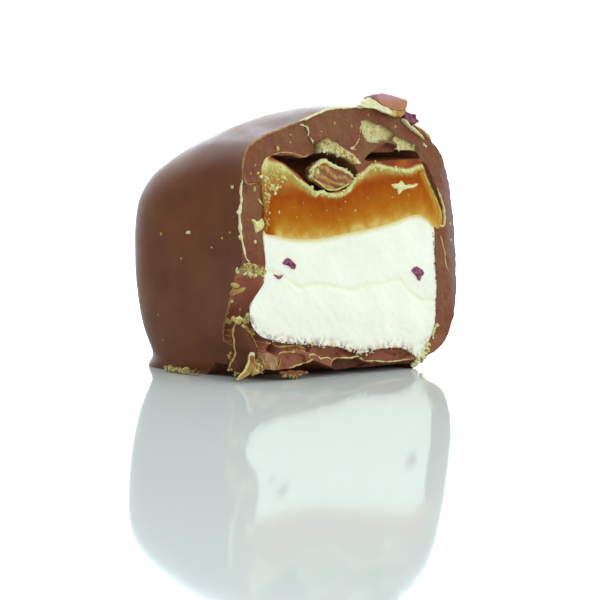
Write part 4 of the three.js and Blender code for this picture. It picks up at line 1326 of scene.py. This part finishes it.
def make_flakes():
    """Flakes of the coating that lifted at the crown and the shoulder, and small ones on the bitten face."""
    crown = [
        (3.7, 25.95), (3.75, 26.2), (4.1, 26.32), (4.8, 26.3), (6.1, 26.15), (7.4, 25.9), (8.3, 25.65),
        (8.3, 25.2), (8.1, 24.8), (7.2, 24.65), (6.1, 24.75), (5.2, 25), (4.5, 25.25), (4, 25.55),
    ]
    under = [
        (1.2, 25.05), (1.8, 25.3), (2.4, 25.7), (2.8, 25.85), (3.2, 25.65), (3.9, 25.4), (4.7, 25.1),
        (5.4, 24.9), (6.2, 24.7), (7.2, 24.65), (8.1, 24.75), (7.9, 24.35), (7, 24.15), (6, 24.2),
        (5.2, 24.4), (4.3, 24.65), (3.4, 24.8), (2.3, 24.85),
    ]
    front, thickness = 1.6, 1.8
    peel = lump(
        "crown_flake", crown, upright_at(front), thickness, 0, 3, PAINTED_HIGHLIGHT, cell=0.06, bumpy=0.4, chamfer=0.05,
    )
    # Paler and pinker toward its top: painted highlight.
    with_values(peel, "tone", smoothstep(corners_of(peel)[:, 2], 25.3, 26))
    thinned(peel, front, thickness, 25.0, 2)
    in_place(peel)
    underside = lump(
        "crown_flake_underside", under, upright_at(1.5), 0.5, 0.9, 4, CRUMBLED, cell=0.05, chamfer=0.05,
    )
    # Palest at its left end, where the crown's sheen is painted in over its own pale cream.
    with_values(underside, "tone", 1.1 - 0.55 * smoothstep(corners_of(underside)[:, 0], 5, 7))
    in_place(underside)
    shoulder = [
        (8, 24.9), (8.7, 24.6), (9.9, 24.4), (9.7, 24.1), (10.4, 23.7), (9.8, 23.4), (9, 23.5), (8.4, 23.8),
    ]
    low_shoulder = [(9.9, 23.2), (10.6, 23.1), (11.2, 22.7), (11.6, 22.1), (11, 22.2), (10.3, 22.6)]
    strip = [
        (8.1, 24), (8.3, 23.85), (8.7, 23.45), (9.4, 23.15), (10.2, 22.75), (10.9, 22.3), (11.4, 21.85),
        (10.9, 22.1), (10, 22.6), (9.1, 23.05), (8.35, 23.5), (8.05, 23.85),
    ]
    front, thickness = 1.8, 1.2
    mauve = lump("shoulder_flake", shoulder, upright_at(front), thickness, 0.03, 6, CRUMBLED, cell=0.06)
    thinned(mauve, front, thickness, 23.4, 4)
    in_place(mauve)
    lower = lump("low_shoulder_flake", low_shoulder, upright_at(1.8), 1, 0.3, 7, CRUMBLED)
    in_place(lower)
    pale = lump("shoulder_strip", strip, upright_at(1.7), 0.8, 0.98, 8, CRUMBLED, cell=0.05, bumpy=0.7)
    in_place(pale)
    roof = [
        (2.5, 20.2), (3.2, 20.7), (4.2, 21.3), (5.8, 21.75), (7, 21.55), (7.8, 21.1), (7.6, 20.75),
        (6, 20.65), (4.4, 20.6), (3.2, 20.4),
    ]
    # Its dark tone is partly painted shade under the overhang.
    arch = lump("hollow_roof", roof, upright_at(2.6), 2, 0.25, 9, CRUMBLED, bumpy=0.5, chamfer=0)
    in_place(arch)
    small = [
        ("star_crumb", soft_depth, 0.92, [
            (5.9, 17.6), (6.9, 17.7), (7.3, 18), (7.6, 17.7), (8.6, 17.6), (9.9, 17.7), (9.2, 17.3),
            (8, 17.2), (7.4, 17), (6.7, 16.6), (6.6, 17.1), (6.1, 17.3),
        ]),
        ("square_crumb", chocolate_depth, 0.88, [
            (-13.1, 14.4), (-12.4, 14.3), (-11.6, 14.5), (-11.5, 14), (-11.3, 13.6), (-12.1, 13.5),
            (-12.7, 13.2), (-12.9, 13.8),
        ]),
        ("wall_flake", chocolate_depth, 0.74, [
            (-14.8, 8.7), (-14.4, 8.75), (-13.9, 8.45), (-14, 8.25), (-14.4, 8.3), (-14.8, 8.45),
        ]),
        ("low_wall_flake", chocolate_depth, 0.62, [
            (-14.6, 8.1), (-13.8, 8.2), (-13.3, 8.35), (-13.4, 8.05), (-13.7, 7.75), (-14.1, 7.65),
            (-14.5, 7.6),
        ]),
        ("right_speck", soft_depth, 0.0, [
            (7.8, 9.4), (8.3, 9.7), (9.2, 9.6), (9.7, 9.1), (9.2, 8.7), (8.8, 8.3), (8.5, 8.8),
        ]),
        ("left_speck", soft_depth, 0.0, [
            (-9.8, 10.5), (-9.1, 10.9), (-8.5, 10.7), (-8, 10.3), (-8.3, 9.9), (-8.9, 10.1),
        ]),
        ("curl", soft_depth, 0.0, [(-11, 9.5), (-10.4, 9.35), (-9.6, 9.5), (-9.8, 9.3), (-10.4, 9.1)]),
        ("base_flake", upright_at(-1.3), 0.32, [
            (-11.2, 0.75), (-10.2, 0.85), (-8.7, 0.8), (-7.5, 0.6), (-8.4, 0.3), (-9.6, 0.2), (-10.7, 0.4),
        ]),
    ]
    for seed, (name, surface, tone, outline) in enumerate(small, 60):
        flake = lump(name, outline, raised(surface), 0.32, tone, seed, CRUMBLED, cell=0.05)
        in_place(flake)


def make_corner_shard():
    """The shard of coating that stands in front of the broken wall, with a smaller one at its foot."""
    left = [
        (-14.7, 0.9, 5.3), (-15, 0.9, 4.7), (-15.1, 0.9, 4.2), (-14.9, 0.9, 3.6), (-14.9, 0.9, 3.1),
        (-14.7, 0.9, 2.5), (-14.9, 0.9, 2), (-15.3, 0.9, 1.5), (-15.4, 0.9, 0.9),
    ]
    right = [
        (-14.6, 0.5, 5.3), (-14.4, 0.2, 4.8), (-13.8, 0.15, 4.4), (-13.3, 0, 3.7), (-13, -0.15, 2.9),
        (-12.7, -0.2, 2), (-12.7, 0, 1.6), (-13.3, 0.2, 1.1), (-14.3, 0.2, 0.7),
    ]
    bent_plate("corner_shard", left, right, 0.7, 0.5, 0.1, 0.27, BITTEN)
    small_left = [
        (-14.6, -0.75, 2.4), (-14.6, -0.75, 1.9), (-14.8, -0.75, 1.5), (-15.1, -0.75, 1), (-15.6, -0.75, 0.7),
        (-16, -0.75, 0.3),
    ]
    small_right = [
        (-14.1, -0.8, 2.4), (-13.9, -0.8, 1.9), (-13.7, -0.8, 1.5), (-14.1, -0.8, 1.1), (-14.8, -0.8, 0.7),
        (-15.9, -0.7, 0.25),
    ]
    bent_plate("straw_shard", small_left, small_right, 0.5, 0.25, 0.6, 0.45, CRUMBLED)
    forms = []
    edges = ((left, 0.07, 0.68), (right, 0.07, 0.68), (small_left, 0.1, 0.86), (small_right, 0.08, 0.75))
    for seed, (line, radius, tone) in enumerate(edges, 1):
        forms.append(thread(curve_through(line, 40), radius, tone, seed))
    cap = curve_through([
        (-14.6, -0.8, 2.45), (-14.3, -0.85, 2.5), (-14.1, -0.8, 2.3), (-14.3, -0.9, 2.1),
    ], 20)
    forms += strewn(cap, 16, 0.06, (0.08, 0.16), (0.8, 1.0), 72)
    foot = curve_through([(-15.4, 0.9, 1.1), (-14.9, 0.5, 0.8), (-14.4, 0.2, 0.7)], 30)
    forms += strewn(foot, 16, 0.1, (0.08, 0.18), (0.6, 0.95), 71)
    joined("shard_edges", forms)


make_threads()
make_crumbs()
make_rim_crumbs()
make_marshmallow_crumbs()
make_marshmallow_tip()
make_wall_specks()
make_chip()
make_flakes()
make_corner_shard()

# Where the photograph was taken from: the angle round the sweet, the camera's tilt and roll, and its lens.
CAMERA_AZIMUTH = math.radians(-46)
CAMERA_TILT = math.radians(4.5)
CAMERA_ROLL = math.radians(1.8)
SENSOR_MM = 36
LENS_MM = 135
PICTURE_WIDTH = 600
NEAR_CORNER = Vector((-15.4, 0, 0))  # the lower left corner of the bitten face
NEAR_CORNER_PIXEL = (236, 382)  # where it shows in the picture
NEAR_CORNER_DISTANCE = 200.9

# Parts of the studio: the direction each lies in, the cosines between which it brightens toward it, and how
# bright it is, where 1 makes a white surface that faces it white.
CEILING = ((0, 0, 1), 0.45, 0.95, 1.05)
BACKDROP = ((0.6, 0.66, 0.72), 0.15, 0.65, 2.3)
HORIZON = ((0.72, 0.69, 0.1), 0.7, 1.0, 4.2)
ROOM_LIGHT = 0.3
BACKDROP_COLOUR = "#e4f5ff"
WHITE_BEHIND = 1.1  # the white past the floor's edge
FACE_LIGHT = {"place": (0.16, -0.5, 0.22), "size": (0.4, 0.3), "radiance": 3.0}  # in metres
LIGHT_AIM = Vector((0, 0, 0.012))
FLOOR_REACH = 3.0  # metres
FLOOR_MIRRORS = 0.65  # share of a polished surface's reflection, so that the floor stays pale


def make_camera():
    """The camera that took the picture, placed by where the near corner shows."""
    a, tilt, roll = CAMERA_AZIMUTH, CAMERA_TILT, CAMERA_ROLL
    level = Vector((-math.sin(a), math.cos(a), 0))
    right = Vector((math.cos(a), math.sin(a), 0))
    plumb = Vector((0, 0, 1))
    ahead = level * math.cos(tilt) - plumb * math.sin(tilt)
    upward = plumb * math.cos(tilt) + level * math.sin(tilt)
    picture_right = right * math.cos(roll) + upward * math.sin(roll)
    picture_up = upward * math.cos(roll) - right * math.sin(roll)
    per_pixel = SENSOR_MM / LENS_MM / PICTURE_WIDTH
    across = (NEAR_CORNER_PIXEL[0] - PICTURE_WIDTH / 2) * per_pixel * NEAR_CORNER_DISTANCE
    down = (NEAR_CORNER_PIXEL[1] - PICTURE_WIDTH / 2) * per_pixel * NEAR_CORNER_DISTANCE
    place = NEAR_CORNER - picture_right * across + picture_up * down - ahead * NEAR_CORNER_DISTANCE
    place -= BOX_MIDDLE
    camera = placed("camera", bpy.data.cameras.new("camera"))
    camera.data.lens = LENS_MM
    camera.data.sensor_width = SENSOR_MM
    camera.data.clip_start = 0.005
    camera.data.clip_end = 20
    turn = Matrix((picture_right, picture_up, -ahead)).transposed().to_4x4()
    camera.matrix_world = Matrix.Translation(place * 0.001) @ turn
    bpy.context.scene.camera = camera


def soft_light(name, place, size, radiance):
    """A soft box that faces the sweet, as bright as its radiance wherever it is seen."""
    light = bpy.data.lights.new(name, "AREA")
    light.shape = "RECTANGLE"
    light.size, light.size_y = size
    light.energy = radiance * math.pi * size[0] * size[1]
    lamp = placed(name, light)
    lamp.location = place
    lamp.rotation_euler = (LIGHT_AIM - Vector(place)).to_track_quat("-Z", "Y").to_euler()
    lamp.visible_camera = False


def brightening(tree, along, toward, low, high, radiance):
    """Light that rises from none to its radiance as a direction nears the one it comes from."""
    facing = add(tree, "VectorMath", {0: along, 1: Vector(toward).normalized()}, operation="DOT_PRODUCT")
    rise = add(tree, "MapRange", {
        "Value": facing.outputs["Value"], "From Min": low, "From Max": high, "To Max": radiance,
    }, interpolation_type="SMOOTHSTEP")
    return rise.outputs["Result"]


def make_light():
    """A white studio: a dim room, a bright ceiling, and a bright backdrop on the far side of the sweet."""
    world = bpy.data.worlds.new("white studio")
    world.use_nodes = True
    tree = world.node_tree
    tree.nodes.clear()
    along = add(tree, "TexCoord").outputs["Generated"]
    ceiling, backdrop, horizon = (brightening(tree, along, *part) for part in (CEILING, BACKDROP, HORIZON))
    strength = ROOM_LIGHT
    for part in (horizon, backdrop, ceiling):
        strength = add(tree, "Math", {0: part, 1: strength}, operation="MAXIMUM").outputs["Value"]
    tint = tinted(tree, "#ffffff", (backdrop, BACKDROP_COLOUR))
    room = add(tree, "Background", {"Color": tint, "Strength": strength})
    white = add(tree, "Background", {"Color": (1, 1, 1, 1), "Strength": WHITE_BEHIND})
    seen = add(tree, "LightPath").outputs["Is Camera Ray"]
    shown = add(tree, "MixShader", {0: seen, 1: room.outputs["Background"], 2: white.outputs["Background"]})
    add(tree, "OutputWorld", {"Surface": shown.outputs["Shader"]})
    bpy.context.scene.world = world
    soft_light("face_light", **FACE_LIGHT)


def make_floor():
    """A plain pale floor, polished enough to mirror the sweet faintly."""
    mesh = bpy.data.meshes.new("floor")
    corners = [(x * FLOOR_REACH, y * FLOOR_REACH, 0) for x, y in ((-1, -1), (1, -1), (1, 1), (-1, 1))]
    mesh.from_pydata(corners, [], [(0, 1, 2, 3)])
    finish, tree, _ = new_finish("polished white acrylic")
    gloss = add(tree, "Fresnel", {"IOR": 1.45})
    share = add(tree, "Math", {0: gloss.outputs["Fac"], 1: FLOOR_MIRRORS}, operation="MULTIPLY")
    white = add(tree, "BsdfDiffuse", {"Color": linear("#c4c6bf")}).outputs["BSDF"]
    mirror = add(tree, "BsdfAnisotropic", {"Color": (1, 1, 1, 1), "Roughness": 0.06}).outputs["BSDF"]
    both = add(tree, "MixShader", {0: share.outputs["Value"], 1: white, 2: mirror})
    add(tree, "OutputMaterial", {"Surface": both.outputs["Shader"]})
    mesh.materials.append(finish)
    placed("floor", mesh)


make_camera()
make_light()
make_floor()
bpy.context.scene.view_settings.view_transform = "Standard"
